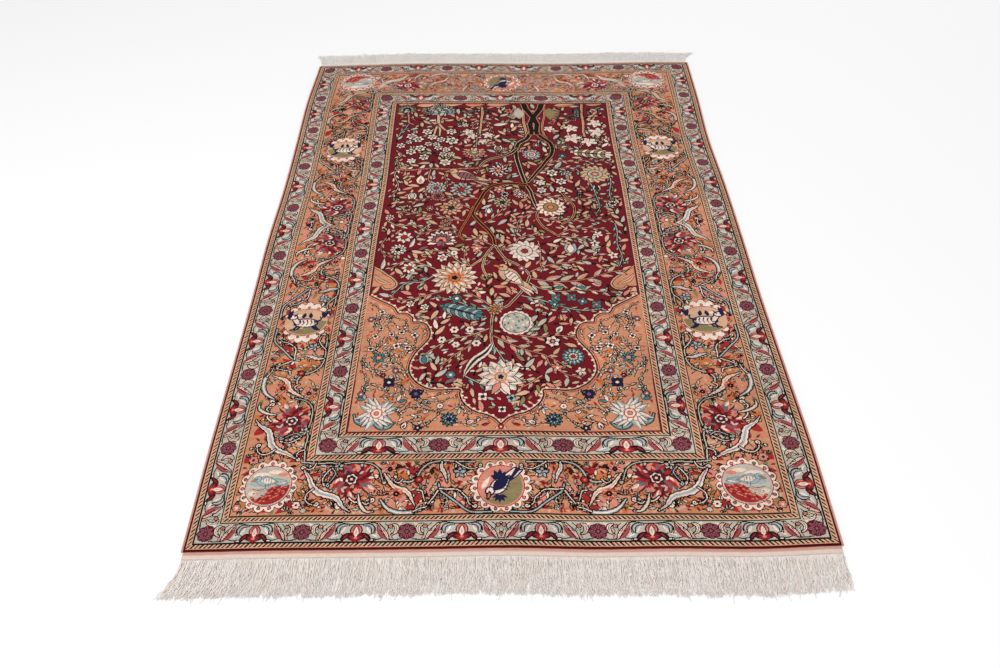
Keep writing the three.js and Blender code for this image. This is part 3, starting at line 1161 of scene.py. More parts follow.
BORDER_VINES = (
    Undergrowth(500, 40, 90, 12, 13, ((BEIGE, SAGE), (SAGE, OLIVE), (CREAM, BEIGE), (ORANGE, OCHRE))),
    Undergrowth(500, 18, 36, 9, 8, ((BEIGE, SAGE), (SAGE, OLIVE), (CREAM, BEIGE), (MAROON, BRICK))),
    Strewing(SOFT_LEAF, 5, 700, ((BRICK, MAROON), (PINK, BEIGE), (BEIGE, SAGE), (MAROON, BRICK)), 0.9),
)
BORDER_BOXES = ((66, 62, HALF, 163), (66, 163, 175, 1380), (66, 1378, HALF, 1482))
# Further up the sides, the vines and blades are in warmer yarns
WARMER_BOX = (64, 1000, 176, 1376)
WARMER_YARNS = ((CREAM, BEIGE), (BLUE, SAGE))


# Niche and field. Places are as drawn at first; settle moves them across to where the weave puts them.
FIELD_TOP = 1311  # the field's last row
DRIFT_DRAWN = 12
DRIFT = (17, 17, 11, 5, 3.5, 3.5, 4, 6, 6)


def drift(up: np.ndarray) -> np.ndarray:
    """Say how many mm the pattern's middle lies left of the pile's, at a share of the pile's length."""
    return np.interp(up, np.linspace(0, 1, len(DRIFT)), DRIFT)


def settle(x: float, y: float) -> float:
    """Say how far a drawn place moves across: the change in drift, most at the middle, none at the sides."""
    return float((drift(y / KNOTS_ALONG) - DRIFT_DRAWN) * math.sin(math.pi * x / KNOTS_ACROSS))


def settled(stops: Path) -> List[Point]:
    """Move a path's points across to where the weave puts them."""
    return [(x + settle(x, y), y) for x, y in stops]


NICHE_EDGE = (
    (243, 562), (250, 560), (262, 552), (285, 538), (300, 527), (309, 512), (325, 511), (338, 500),
    (341, 488), (355, 487), (368, 480), (376, 462), (375, 445), (365, 428), (352, 410), (343, 390),
    (340, 370), (343, 355), (352, 340), (365, 328), (385, 318), (412, 317), (437, 317), (438, 305),
    (443, 290), (455, 275), (470, 265), (485, 260), (500, 252), (514, 238),
)
NICHE_HOOK = ((246, 648), (262, 637), (276, 624), (292, 610), (300, 594), (292, 581), (276, 579), (268, 588))
HOOK_HEART = ((250, 622), (262, 606), (276, 598), (286, 594))

SPANDREL_ROWS = (
    *sprays(
        Spray((), 1.9, BLACK, 9, 11, VINE_LEAVES, hook=8),
        ((292, 300), (306, 318), (303, 336), (284, 352), (273, 372), (280, 394), (270, 410), (262, 420)),
        ((300, 336), (325, 330), (338, 318), (357, 308), (374, 292), (400, 290), (430, 300)),
        ((280, 396), (300, 412), (313, 426), (334, 421), (350, 432), (346, 452), (330, 462), (318, 460)),
        ((262, 420), (257, 440), (268, 452), (278, 470), (272, 490), (276, 514), (262, 530), (252, 540)),
        ((330, 238), (348, 246), (366, 232), (384, 240), (404, 262), (420, 250), (446, 240), (470, 250)),
        ((326, 262), (344, 276), (368, 276), (392, 268), (404, 280)),
        ((340, 346), (330, 370), (312, 386), (300, 402), (312, 440), (300, 456), (290, 480), (300, 500)),
        ((250, 300), (258, 320), (262, 342), (252, 362), (250, 384)),
        ((318, 460), (330, 476), (322, 492), (300, 500)),
    ),
    Spot(GREAT_ROSE, 288, 264, 30, -14, (CREAM, BLUE, BRICK, ORANGE)),
    Spot(LEAF_PAIR, 258, 300, 10, 40, (BLUE, TEAL)),
    Spot(LEAF_PAIR, 330, 296, 10, -50, (TEAL, CREAM)),
    Spot(QUATREFOIL, 305, 335, 12, 0, (NAVY, CREAM)),
    Spot(BLOSSOM, 357, 308, 11, 0, (NAVY, MAUVE)),
    Spot(DAISY, 280, 395, 14, 0, (TEAL, PINK)),
    *spots(BLOSSOM, (MAUVE, CREAM), (255, 308, 6, 0), (315, 363, 6, 0), (255, 495, 6, 0)),
    Spot(BLOSSOM, 292, 352, 5, 0, (MAROON, PINK)),
    *spots(BUD, (SAGE, GREEN), (262, 342, 6, 30), (375, 290, 6, -60)),
    Spot(BLOSSOM, 403, 280, 6, 0, (CREAM, BRICK)),
    Spot(SPIKY, 420, 250, 14, 0, (TEAL, NAVY, BLUE, NAVY)),
    Spot(STAR, 365, 232, 7, 45, (NAVY, CREAM)),
    Spot(BUD, 340, 237, 8, -20, (CREAM, MAROON)),
    Spot(TULIP, 310, 388, 7, -10, (CREAM, OLIVE)),
    *spots(QUATREFOIL, (CREAM, BLACK), (262, 418, 7, 0), (334, 420, 7, 0), (320, 460, 7, 0),
           (300, 455, 6, 10), (278, 471, 6, 0), (276, 515, 7, 20)),
    *spots(QUATREFOIL, (CREAM, NAVY), (312, 425, 8, 20), (346, 452, 8, 40), (268, 450, 7, 30)),
    Spot(FOLIAGE, 348, 471, 8, 30, (OLIVE, SAGE)),
    Spot(BUD, 458, 244, 7, -70, (CREAM, MAUVE)),
    Spot(SOFT_LEAF, 486, 238, 9, 10, (BRICK, MAROON)),
    Spot(SOFT_LEAF, 505, 232, 5, 60, (CREAM, BRICK)),
    Spot(FOLIAGE, 438, 268, 7, 70, (CREAM, BLUE)),
)
HOOK_ROWS = (Blade(HOOK_HEART, 10, BEIGE, OLIVE, BRICK), Stem(NICHE_HOOK, 3.2, BEIGE, BLACK, 0.8))
NICHE_CLIP = (244, 225, HALF, 700)
SPANDREL_BOX = (246, 226, HALF, 560)
FIELD_CLIP = (245, 226, 788, FIELD_TOP)
FIELD_BOX = (246, 236, 787, FIELD_TOP - 1)


BRANCHES = (
    Branch(((470, 1004), (430, 1001), (390, 999), (345, 1001), (300, 995), (262, 999)),
           1.4, MAROON, PINK, 1, 3),
    Branch(((660, 905), (672, 880), (684, 855), (683, 825), (672, 803), (655, 790)), 3),
    Branch(((583, 1308), (582, 1262), (583, 1210), (588, 1168), (586, 1140)), 3, OCHRE, BEIGE, 1),
    Branch(((637, 1306), (636, 1250), (631, 1215), (629, 1180), (634, 1150), (643, 1130)),
           2, BRICK, ORANGE, 1),
    Branch(((474, 1290), (476, 1262), (474, 1232), (473, 1200), (470, 1160)), 2.4, OCHRE, BEIGE, 0.5),
    Branch(((733, 1306), (731, 1260), (733, 1210), (731, 1170), (733, 1146)), 2.4, OCHRE, BEIGE),
    Branch(((362, 1262), (361, 1230), (363, 1200), (356, 1184), (346, 1174)), 5, BEIGE, BEIGE, 0.5),
    Branch(((363, 1204), (356, 1180), (353, 1150)), 2.4, BEIGE, BEIGE, 0.5),
    Branch(((364, 1204), (367, 1180), (367, 1150)), 2.4, BEIGE, BEIGE, 0.5),
    Branch(((365, 1204), (374, 1186), (386, 1170)), 2.4, BEIGE, BEIGE, 0.5),
    Branch(((279, 1262), (282, 1240), (284, 1215), (296, 1204)), 2, PINK, PINK, 0.6, 2),
    Branch(((612, 1165), (628, 1140), (645, 1118), (650, 1090), (645, 1062), (632, 1038), (618, 1010),
            (604, 985), (592, 962), (582, 945)), 10, BLACK, ORANGE, 0.5),
    Branch(((598, 1165), (588, 1136), (568, 1114), (561, 1085), (560, 1050), (565, 1010), (572, 965),
            (579, 935), (588, 910), (592, 885), (598, 860), (604, 838)), 10, BLACK, BEIGE, 0.45),
    Branch(((562, 1088), (545, 1066), (520, 1052), (497, 1043), (480, 1028), (470, 1010)),
           6, BLACK, BEIGE, 0.5),
    Branch(((578, 936), (545, 940), (515, 936), (495, 925), (481, 905), (472, 880), (461, 850), (456, 825),
            (465, 805), (480, 782), (493, 762), (503, 740), (506, 716)), 6, BLACK, OCHRE, 0.8),
    Branch(((504, 715), (492, 695), (482, 675), (470, 662), (455, 648)), 2.4, BLACK, BEIGE),
    Branch(((484, 672), (480, 645), (488, 618)), 2, BLACK, BEIGE),
    Branch(((508, 712), (517, 692), (530, 670), (552, 655), (572, 634), (578, 618)), 3, BLACK, BEIGE),
    Branch(((456, 850), (446, 812), (433, 774), (428, 750), (437, 734)), 2.4, BLACK, OCHRE),
    Branch(((604, 838), (600, 812), (612, 781), (627, 765), (646, 747)), 3),
    Branch(((578, 618), (572, 598), (562, 576), (545, 550), (528, 528), (505, 520), (499, 498), (497, 470),
            (497, 440), (501, 420)), 3, BLACK, BEIGE),
)
TAN = (BEIGE, SAGE, PINK)
PALE = (CREAM, SAGE, BEIGE)
COOL = (TEAL, SAGE, OLIVE)
FIELD_SPRAYS = (
    *sprays(
        Spray((), 2.2, PINK, 39, 17, TAN, BLACK),
        ((578, 612), (620, 604), (660, 604), (700, 612), (745, 630), (778, 634)),
    ),
    *sprays(
        Spray((), 2.2, BEIGE, 28, 15, PALE, BLACK),
        ((575, 600), (600, 582), (640, 574), (690, 578), (730, 570)),
    ),
    *sprays(
        Spray((), 2.2, PINK, 28, 15, TAN, BLACK),
        ((580, 632), (610, 650), (650, 660), (690, 668), (730, 690)),
        ((505, 522), (478, 548), (452, 566), (424, 574)),
        ((500, 450), (530, 430), (566, 412), (600, 400), (630, 380)),
    ),
    *sprays(
        Spray((), 2.2, SAGE, 21, 13, COOL, BLACK),
        ((560, 560), (600, 548), (640, 530), (680, 520), (720, 524)),
        ((505, 520), (462, 526), (420, 548), (380, 556)),
        ((499, 430), (512, 404), (522, 384)),
        ((445, 350), (470, 334), (492, 320)),
        ((378, 620), (350, 600), (320, 598), (290, 560)),
    ),
    *sprays(
        Spray((), 2.2, BEIGE, 21, 13, PALE, BLACK),
        ((497, 470), (455, 450), (420, 442), (388, 420), (366, 400)),
        ((455, 648), (430, 662), (405, 690), (370, 700)),
        ((380, 640), (340, 660), (310, 664), (280, 640)),
        ((646, 747), (680, 742), (710, 738)),
        ((262, 800), (290, 782), (320, 786), (350, 770)),
        ((262, 1050), (272, 1015), (262, 975), (275, 930), (262, 890)),
        ((645, 1118), (668, 1100), (690, 1085), (720, 1070)),
        ((600, 985), (640, 1000), (680, 1006), (720, 1010)),
        ((560, 1060), (530, 1080), (510, 1100), (480, 1110)),
    ),
    *sprays(
        Spray((), 2.2, PINK, 21, 13, TAN, BLACK),
        ((470, 448), (450, 420), (425, 400), (400, 372)),
        ((546, 452), (585, 446), (625, 452), (660, 446)),
        ((590, 350), (565, 330), (545, 318)),
        ((500, 716), (470, 734), (436, 744), (410, 762)),
        ((512, 700), (545, 712), (560, 740), (590, 752), (620, 742)),
        ((400, 575), (360, 560), (320, 548), (290, 556)),
        ((600, 730), (604, 690), (601, 660), (606, 640)),
        ((640, 748), (670, 770), (710, 776), (750, 768)),
        ((604, 812), (640, 804), (680, 800), (720, 806), (765, 800)),
        ((430, 762), (400, 776), (365, 764), (335, 750)),
        ((440, 800), (405, 806), (370, 822), (320, 826), (280, 836)),
        ((472, 880), (440, 884), (400, 880), (350, 884), (310, 866)),
        ((500, 930), (470, 936), (440, 932), (400, 940)),
        ((455, 840), (430, 858), (405, 880)),
        ((480, 790), (500, 806), (520, 836), (528, 860)),
        ((590, 905), (630, 892), (670, 884), (720, 880), (770, 872)),
        ((604, 838), (570, 812), (556, 790), (560, 765)),
        ((350, 1000), (345, 960), (352, 935), (340, 900)),
        ((618, 1010), (660, 1040), (690, 1032), (740, 1038), (775, 1030)),
    ),
    *sprays(
        Spray((), 1.8, PINK, 17, 12, TAN, BLACK),
        ((600, 400), (610, 372), (640, 352), (666, 350)),
        ((455, 648), (440, 676), (445, 700)),
        ((265, 742), (256, 716), (262, 690), (290, 672)),
        ((400, 1002), (385, 970), (392, 945), (380, 915)),
        ((562, 1040), (540, 1020), (530, 1000)),
        ((474, 1232), (462, 1212), (452, 1194), (448, 1172)),
        ((474, 1232), (488, 1212), (496, 1190), (500, 1168)),
        ((260, 1236), (268, 1242), (278, 1248)),
        ((300, 1225), (290, 1236), (282, 1246)),
    ),
    *sprays(
        Spray((), 1.8, SAGE, 17, 12, COOL, BLACK),
        ((770, 790), (772, 760), (768, 720), (774, 680), (766, 650)),
        ((700, 1000), (728, 940), (736, 900), (742, 850), (730, 822)),
        ((770, 1000), (776, 950), (768, 900), (772, 860)),
        ((262, 1150), (268, 1170), (278, 1186), (284, 1210)),
    ),
    *sprays(
        Spray((), 1.8, BEIGE, 17, 12, PALE, BLACK),
        ((474, 1200), (466, 1176), (468, 1150)),
        ((463, 1140), (462, 1110), (460, 1085)),
        ((732, 1160), (720, 1130), (722, 1100)),
        ((731, 1180), (750, 1160), (765, 1130), (770, 1100)),
        ((260, 1080), (275, 1060), (262, 1040), (270, 1010)),
    ),
)
FIELD_SPOTS = (
    # The ground at the far end, and the trees' crowns
    Spot(FOLIAGE, 330, 1304, 30, 3, (BEIGE, PINK)),
    Spot(FOLIAGE, 395, 1306, 28, -4, (BEIGE, OCHRE)),
    *spots(FOLIAGE, (PINK, BEIGE), (275, 1308, 24, 2), (520, 1306, 34, 2), (492, 1230, 10, -20)),
    Spot(FOLIAGE, 690, 1304, 28, 3, (OCHRE, BEIGE)),
    Spot(FOLIAGE, 765, 1306, 22, -3, (PINK, OLIVE)),
    Spot(FOLIAGE, 455, 1304, 26, -6, (PINK, OCHRE)),
    Spot(PALMETTE, 275, 1286, 20, 0, (OLIVE, SAGE, GREEN, SAGE)),
    Spot(PALMETTE, 336, 1270, 17, 180, (BEIGE, SAGE, GREEN, CREAM)),
    Spot(PALMETTE, 372, 1276, 26, 0, (BLUE, SAGE, TEAL, CREAM)),
    Spot(PALMETTE, 358, 1290, 18, 30, (CREAM, BLUE, OLIVE, CREAM)),
    Spot(FEATHER, 452, 1272, 16, 8, (CREAM, BEIGE)),
    Spot(FEATHER, 494, 1268, 15, -30, (BEIGE, OLIVE)),
    *spots(FOLIAGE, (PINK, PINK), (508, 1254, 12, -52), (454, 1228, 10, 10), (766, 1262, 13, 55)),
    Spot(HALF_FAN, 566, 1262, 26, 0, (SAGE, BEIGE)),
    Spot(HALF_FAN, 654, 1258, 28, 180, (OLIVE, PINK)),
    Spot(SCROLL, 655, 1214, 10, 200, (PINK, MAROON)),
    Spot(FEATHER, 718, 1260, 22, 88, (TEAL, SAGE)),
    Spot(BLOSSOM, 690, 1258, 5, 0, (PINK, CREAM)),
    Spot(PALMETTE, 704, 1238, 13, 90, (PINK, MAUVE, MAROON, PINK)),
    Spot(ROUND_ROSE, 544, 1272, 12, 0, (PINK, BRICK, MAROON)),
    # White roses under the second tree
    *spots(ROUND_ROSE, (CREAM, BLACK, CREAM), (335, 1168, 14, 0), (397, 1168, 14, 20), (349, 1142, 13, 0),
           (270, 1103, 12, 0), (360, 1108, 10, 30), (297, 1075, 14, 15), (386, 1084, 11, 25),
           (399, 1063, 10, 0)),
    *spots(ROUND_ROSE, (CREAM, BLACK, SAGE), (295, 1146, 14, 0), (313, 1132, 14, 40), (372, 1130, 12, 10),
           (400, 1124, 17, 0), (290, 1119, 9, 0), (340, 1110, 10, 0), (320, 1090, 14, 0),
           (366, 1092, 11, 0), (379, 1063, 11, 0), (331, 1050, 13, 0)),
    # White broad leaves under the right tree
    *spots(MAPLE, (CREAM, SAGE), (700, 1184, 17, 150), (760, 1208, 17, 100), (762, 1166, 19, 60),
           (703, 1136, 20, 200), (742, 1118, 18, 170)),
    Spot(MAPLE, 646, 1182, 13, 190, (CREAM, PINK)),
    Spot(FEATHER, 744, 1066, 46, -10, (CREAM, OLIVE)),
    Spot(PALMETTE, 678, 1100, 13, 20, (ORANGE, PINK, CREAM, OLIVE)),
    # The upper middle
    *spots(MAPLE, (CREAM, SAGE), (440, 1166, 13, 160), (451, 1145, 12, 200), (490, 1150, 13, 150)),
    Spot(MAPLE, 478, 1120, 11, 180, (CREAM, BEIGE)),
    *spots(ROUND_ROSE, (CREAM, OLIVE, SAGE), (432, 1200, 9, 0), (385, 1028, 15, 0)),
    *spots(FOLIAGE, (PINK, BEIGE), (424, 1234, 11, 20), (479, 966, 13, 66)),
    Spot(FOLIAGE, 524, 1203, 19, 6, (CREAM, SAGE)),
    Spot(PALMETTE, 456, 1066, 23, 180, (PINK, BEIGE, OLIVE, CREAM)),
    Spot(TULIP, 516, 1090, 13, 0, (CREAM, OLIVE)),
    Spot(DAISY, 518, 1068, 10, 0, (PINK, MAROON)),
    Spot(WHEEL, 597, 1064, 21, 0, (BLUE, PINK, CREAM, SAGE)),
    Spot(DAISY, 611, 1106, 10, 0, (PINK, CREAM)),
    Spot(BIRD, 430, 972, 36, -6, (BEIGE, MAUVE, BLACK)),
    Spot(SPIKY, 515, 993, 23, 0, (CREAM, NAVY, BRICK, PINK)),
    Spot(ROUND_ROSE, 516, 916, 14, 0, (PINK, MAUVE, CREAM)),
    *spots(DAISY, (CREAM, BLACK), (528, 897, 10, 0), (771, 862, 11, 0)),
    Spot(SPIKY, 563, 898, 14, 0, (CREAM, PINK, PINK, CREAM)),
    Spot(SPIKY, 523, 866, 20, 0, (BEIGE, OLIVE, SAGE, GREEN)),
    Spot(TULIP, 492, 834, 11, 0, (BLUE, CREAM)),
    Spot(SPIKY, 405, 846, 25, 200, (BEIGE, ORANGE, PINK, GREEN)),
    Spot(ROUND_ROSE, 300, 1034, 12, 0, (CREAM, SAGE, BLUE)),
    Spot(BUD, 327, 955, 18, 0, (CREAM, ORANGE)),
    Spot(TULIP, 311, 892, 13, 180, (CREAM, SAGE)),
    Spot(DAISY, 302, 846, 12, 0, (BEIGE, GREEN)),
    Spot(DAISY, 356, 845, 10, 0, (PINK, SAGE)),
    Spot(DAISY, 266, 812, 11, 0, (CREAM, PINK)),
    Spot(WHEEL, 366, 922, 23, 0, (SAGE, MAUVE, BLUE, BRICK)),
    Spot(WHEEL, 372, 890, 15, 0, (PINK, MAROON, MAUVE, MAROON)),
    Spot(SPIKY, 426, 916, 25, 0, (SAGE, BLUE, MAUVE, BRICK)),
    Spot(WHEEL, 742, 978, 33, 0, (BEIGE, OLIVE, SAGE, PINK)),
    *spots(ROUND_ROSE, (CREAM, GREEN, SAGE), (642, 985, 14, 0), (661, 950, 13, 0)),
    Spot(ROUND_ROSE, 678, 982, 11, 0, (SAGE, GREEN, SAGE)),
    Spot(ROUND_ROSE, 613, 945, 12, 0, (CREAM, BLUE, CREAM)),
    Spot(ROUND_ROSE, 614, 915, 12, 0, (CREAM, MAUVE, BLUE)),
    Spot(ROUND_ROSE, 658, 917, 12, 0, (CREAM, MAUVE, CREAM)),
    Spot(FOLIAGE, 660, 1018, 17, 52, (BLUE, SAGE)),
    Spot(DAISY, 672, 1058, 11, 0, (TEAL, BLUE)),
    Spot(TULIP, 741, 920, 11, 0, (CREAM, GREEN)),
    Spot(FEATHER, 700, 897, 14, 80, (CREAM, BLACK)),
    # The middle
    Spot(WHEEL, 632, 850, 32, 0, (CREAM, OCHRE, OLIVE, ORANGE)),
    Spot(dahlia(17), 421, 613, 44, 0, (BEIGE, CREAM, OCHRE, BLACK)),
    Spot(WHEEL, 570, 697, 32, 0, (CREAM, SAGE, CREAM, BRICK)),
    Spot(PALMETTE, 388, 740, 25, 0, (CREAM, MAUVE, PINK, MAROON)),
    *spots(DAISY, (CREAM, BRICK), (305, 743, 20, 0), (323, 643, 17, 0)),
    Spot(SPIKY, 295, 702, 17, 20, (CREAM, SAGE, CREAM, BLACK)),
    *spots(SAZ_LEAF, (CREAM, SAGE), (327, 722, 15, 60), (268, 655, 16, 70)),
    Spot(ROUND_ROSE, 393, 675, 12, 0, (CREAM, MAUVE, PINK)),
    Spot(BLOSSOM, 418, 690, 8, 0, (CREAM, MAROON)),
    Spot(STAR, 467, 705, 13, 0, (PINK, CREAM)),
    Spot(SPIKY, 395, 792, 12, 0, (ORANGE, BEIGE, CREAM, BRICK)),
    Spot(BLOSSOM, 562, 642, 8, 0, (MAUVE, CREAM)),
    Spot(BIRD, 538, 618, 36, -28, (BEIGE, CREAM, BLACK)),
    Spot(TULIP, 668, 706, 17, 0, (BLUE, CREAM)),
    *spots(TULIP, (CREAM, TEAL), (636, 586, 10, 100), (682, 586, 10, 80)),
    Spot(TULIP, 716, 596, 10, 60, (CREAM, PINK)),
    *spots(STAR, (CREAM, MAROON), (721, 722, 11, 0), (756, 682, 11, 10)),
    Spot(STAR, 730, 753, 11, 30, (CREAM, SAGE)),
    # The lower part, inside the niche
    Spot(dahlia(13), 514, 346, 38, 8, (CREAM, SAGE, BEIGE, NAVY)),
    Spot(LEAF_PAIR, 514, 318, 20, 180, (PINK, CREAM)),
    *spots(QUATREFOIL, (CREAM, NAVY), (480, 300, 10, 0), (515, 271, 8, 0)),
    Spot(QUATREFOIL, 532, 296, 9, 20, (BLUE, NAVY)),
    *spots(LEAF_PAIR, (SAGE, OLIVE), (497, 279, 8, 60), (540, 276, 8, -60)),
    Spot(SPECKLED, 546, 484, 32, 0, (CREAM, SAGE, TEAL, CREAM)),
    Spot(SPIKY, 505, 521, 15, 0, (ORANGE, BEIGE, OLIVE, OCHRE)),
    Blade(((500, 430), (486, 406), (466, 388), (452, 366), (444, 346)), 17, CREAM, GREEN, BLACK, 5),
    *spots(BLOSSOM, (CREAM, GREEN), (424, 466, 9, 0), (455, 466, 9, 0), (400, 440, 9, 0), (468, 430, 9, 0)),
    Spot(BLOSSOM, 428, 427, 8, 0, (CREAM, TEAL)),
    Spot(TULIP, 368, 390, 12, 10, (BLUE, TEAL)),
    Spot(BLOSSOM, 420, 352, 9, 0, (TEAL, CREAM)),
    Spot(FEATHER, 438, 516, 42, -20, (TEAL, BLUE)),
    Spot(DAISY, 427, 552, 12, 0, (TEAL, CREAM)),
    *spots(ROUND_ROSE, (CREAM, GREEN, CREAM), (332, 537, 9, 0), (362, 528, 9, 0)),
    Spot(WHEEL, 651, 398, 20, 0, (TEAL, CREAM, TEAL, BRICK)),
    Spot(ROUND_ROSE, 615, 436, 14, 0, (CREAM, GREEN, PINK)),
    Spot(STAR, 620, 370, 11, 0, (PINK, CREAM)),
    Spot(STAR, 663, 362, 10, 20, (CREAM, PINK)),
    *spots(QUATREFOIL, (TEAL, PINK), (628, 556, 11, 0), (660, 556, 11, 0), (708, 536, 11, 0)),
    *spots(QUATREFOIL, (TEAL, CREAM), (625, 536, 10, 20), (681, 545, 10, 30)),
    Spot(BUD, 630, 468, 11, -30, (CREAM, TEAL)),
)
TRUNK_SWAY = ((1160, 1175, 1205, 1240, 1285, 1314), (-7, -6, -9, 0, 19, 24))  # row, half the strands' gap
TRUNK_ROWS = np.linspace(1314, 1160, 23)
TRUNK_X = 607


class Design:
    """The whole rug's plan, drawn in order on one knot chart with one run of chances."""

    def __init__(self) -> None:
        """Start with a bare chart and a fixed seed."""
        self.chart = KnotChart()
        self.rng = np.random.default_rng(38)
        self.whole = Needle(self.chart)

    def grow(self, box: Box, ground: Tuple[Yarn, ...], growths: Iterable[Growth]) -> None:
        """Grow a table of fillings in turn over one box.

        Args:
            box: The columns and rows to fill.
            ground: The yarns that count as ground.
            growths: The fillings.
        """
        for growth in growths:
            growth.grow(replace(self.whole, clip=box, over=ground), self.rng)

    def draw_stripe(self, row: Stripe, inner: Stripe) -> None:
        """Fill all inside one stripe's outer edge with its ground, and set its dashes.

        A dash leans: its place along the stripe moves with its place across it.

        Args:
            row: The stripe.
            inner: The next stripe inwards, where this one ends.
        """
        self.chart.frame(row.end, row.end * FAR_SHARE, row.side, row.ground)
        if row.dash is None:
            return
        y, x = np.mgrid[0:KNOTS_ALONG, 0:HALF] + 0.5
        in_near, in_far, in_side = y - row.end, KNOTS_ALONG - row.end * FAR_SHARE - y, x - row.side
        near, far = y < inner.end, y > KNOTS_ALONG - inner.end * FAR_SHARE
        side = (x < inner.side) & ~near & ~far
        lean = np.where(near, x - in_near, np.where(far, x + in_far, y - in_side)) / DASH_PITCH
        depth = np.where(near, in_near, np.where(far, in_far, in_side)) / (inner.side - row.side)
        mark = (in_near > 0) & (in_far > 0) & (in_side > 0) & (near | far | side)
        mark &= (np.mod(lean, 1) < DASH_LENGTH / DASH_PITCH) & (np.abs(depth - 0.5) < DASH_DEPTH / 2)
        half = self.chart.yarns[:, :HALF]
        half[mark] = np.where(np.mod(np.floor(lean), 3) < 2, BLACK, row.dash)[mark]

    def draw_borders(self) -> None:
        """Work the left half of the borders: their stripes, main repeat, guards and medallions."""
        for row, inner in zip(STRIPES, STRIPES[1:] + STRIPES[-1:]):
            self.draw_stripe(row, inner)
        for box in BORDER_BOXES:
            self.grow(box, (ORANGE,), BORDER_PATCHES)
            self.grow(box, BORDER_GROUNDS, BORDER_VINES)
        for run in REPEAT_RUNS:
            run.draw(self.chart)
        for old, new in WARMER_YARNS:
            self.chart.redye(WARMER_BOX, old, new)
        for run in GUARD_RUNS:
            run.draw(self.chart)
        draw_rows(self.whole, LEFT_MEDALLIONS)

    def draw_niche(self) -> None:
        """Work the left half's light band, orange ground, edge lines and hook, and the spandrel's flowers."""
        n = replace(self.whole, clip=NICHE_CLIP)
        edge = settled(NICHE_EDGE)
        edge[-1] = (HALF, edge[-1][1])
        line = smooth(edge, 8)
        ahead = np.gradient(line, axis=0)
        outward = np.stack([ahead[:, 1], -ahead[:, 0]], -1) / np.hypot(*ahead.T)[:, None]
        each = np.ones(len(line) - 1)
        n.ribbon(line, 6 * each, MAROON)
        n.ribbon(line - 2.6 * outward, 1.5 * each, BEIGE)
        draw_rows(n, (Oval(x, y, 2.7, 2.2, CREAM, None) for x, y in (line - 4 * outward)[::6]))
        left, low = NICHE_EDGE[0][0], NICHE_CLIP[1]
        corner = [(HALF + 2, edge[-1][1]), (HALF + 2, low), (left, low)]
        self.chart.fill(np.vstack([line, corner]), ORANGE)
        n.ribbon(line, 1.5 * each, BLACK)
        n.ribbon(line + 4.4 * outward, 0.8 * each, BRICK)
        draw_field_rows(n, SPANDREL_ROWS)
        self.chart.fill(np.vstack([smooth(settled(NICHE_HOOK), 8), [(243, 588), (243, 650)]]), ORANGE)
        draw_field_rows(n, HOOK_ROWS)
        self.grow(SPANDREL_BOX, (ORANGE, OCHRE), SPANDREL_GROWTH)

    def draw_trunk(self, n: Needle) -> None:
        """Work the big tree's trunk: two dark strands with light edges that cross twice and grow narrower.

        Args:
            n: What it is worked with.
        """
        sway = np.interp(TRUNK_ROWS[::-1], *TRUNK_SWAY)[::-1]
        place = n.at(settle(610, 1240), 0)
        for width, yarn in ((18, ORANGE), (14.5, BLACK)):
            for way in (-1, 1):
                Stem(tuple(zip(TRUNK_X + way * sway, TRUNK_ROWS)), width, yarn, tip=0.8).draw(place)

    def draw_field(self) -> None:
        """Work the field: its leafy stems, branches, trunk and flowers, then what grows between them."""
        field = replace(self.whole, clip=FIELD_CLIP)
        draw_field_rows(field, FIELD_SPRAYS)
        draw_field_rows(field, BRANCHES)
        self.draw_trunk(field)
        draw_field_rows(field, FIELD_SPOTS)
        self.grow(FIELD_BOX, (CRIMSON,), FIELD_GROWTH)

    def draw(self) -> KnotChart:
        """Draw the left half's borders and niche, turn them over to the right, and then draw the rest.

        Returns:
            The finished chart.
        """
        self.draw_borders()
        self.draw_niche()
        self.chart.mirror()
        draw_rows(self.whole, MIDDLE_MEDALLIONS)
        self.draw_field()
        return self.chart


# The rug as a solid. Lengths are in millimetres, as in the part's own source, until a mesh is made.
MM = 0.001
PIECE_GAP = 0.3
CELL = 6  # knots along a side of one of the pile's faces
YARN_BASE = 16  # the base of the numbers that a face carries its knots in
KNOT_MAP = "knot"
WEAVE_MAP = "weave"
BAKE_MAP = "OFBake"
ROWS_LOW = "rows_low"
ROWS_HIGH = "rows_high"
SIDE_MARK = "side_mark"
SQUARE = np.array([[0, 0], [1, 0], [1, 1], [0, 1]], float)

Grids = Tuple[np.ndarray, np.ndarray]
Faces = List[Sequence[int]]


class End(IntEnum):
    """The rug's ends and which way along Y each one faces."""

    NEAR = -1
    FAR = 1


class Side(IntEnum):
    """The rug's long sides and which way along X each one faces."""

    LEFT = -1
    RIGHT = 1


class Surface(IntEnum):
    """Which of the pile's surfaces a face belongs to, as its faces carry it."""

    TOP = 0
    UNDERSIDE = 1
    WALL = 2


def along(stops: Sequence[float], share: np.ndarray) -> np.ndarray:
    """Read a table of evenly set stops at a share of its length, on a smooth cubic through them.

    Args:
        stops: The values at even steps from 0 to 1.
        share: Where to read, from 0 to 1.

    Returns:
        The values there.
    """
    held = np.concatenate([[stops[0]], stops, [stops[-1], stops[-1]]]).astype(float)
    place = np.clip(share, 0, 1) * (len(stops) - 1)
    index = np.minimum(place.astype(int), len(stops) - 2)
    t = place - index
    a, b, c, d = (held[index + k] for k in range(4))
    return (b + 0.5 * (c - a) * t + (a - 2.5 * b + 2 * c - 0.5 * d) * t**2
            + (1.5 * (b - c) + 0.5 * (d - a)) * t**3)


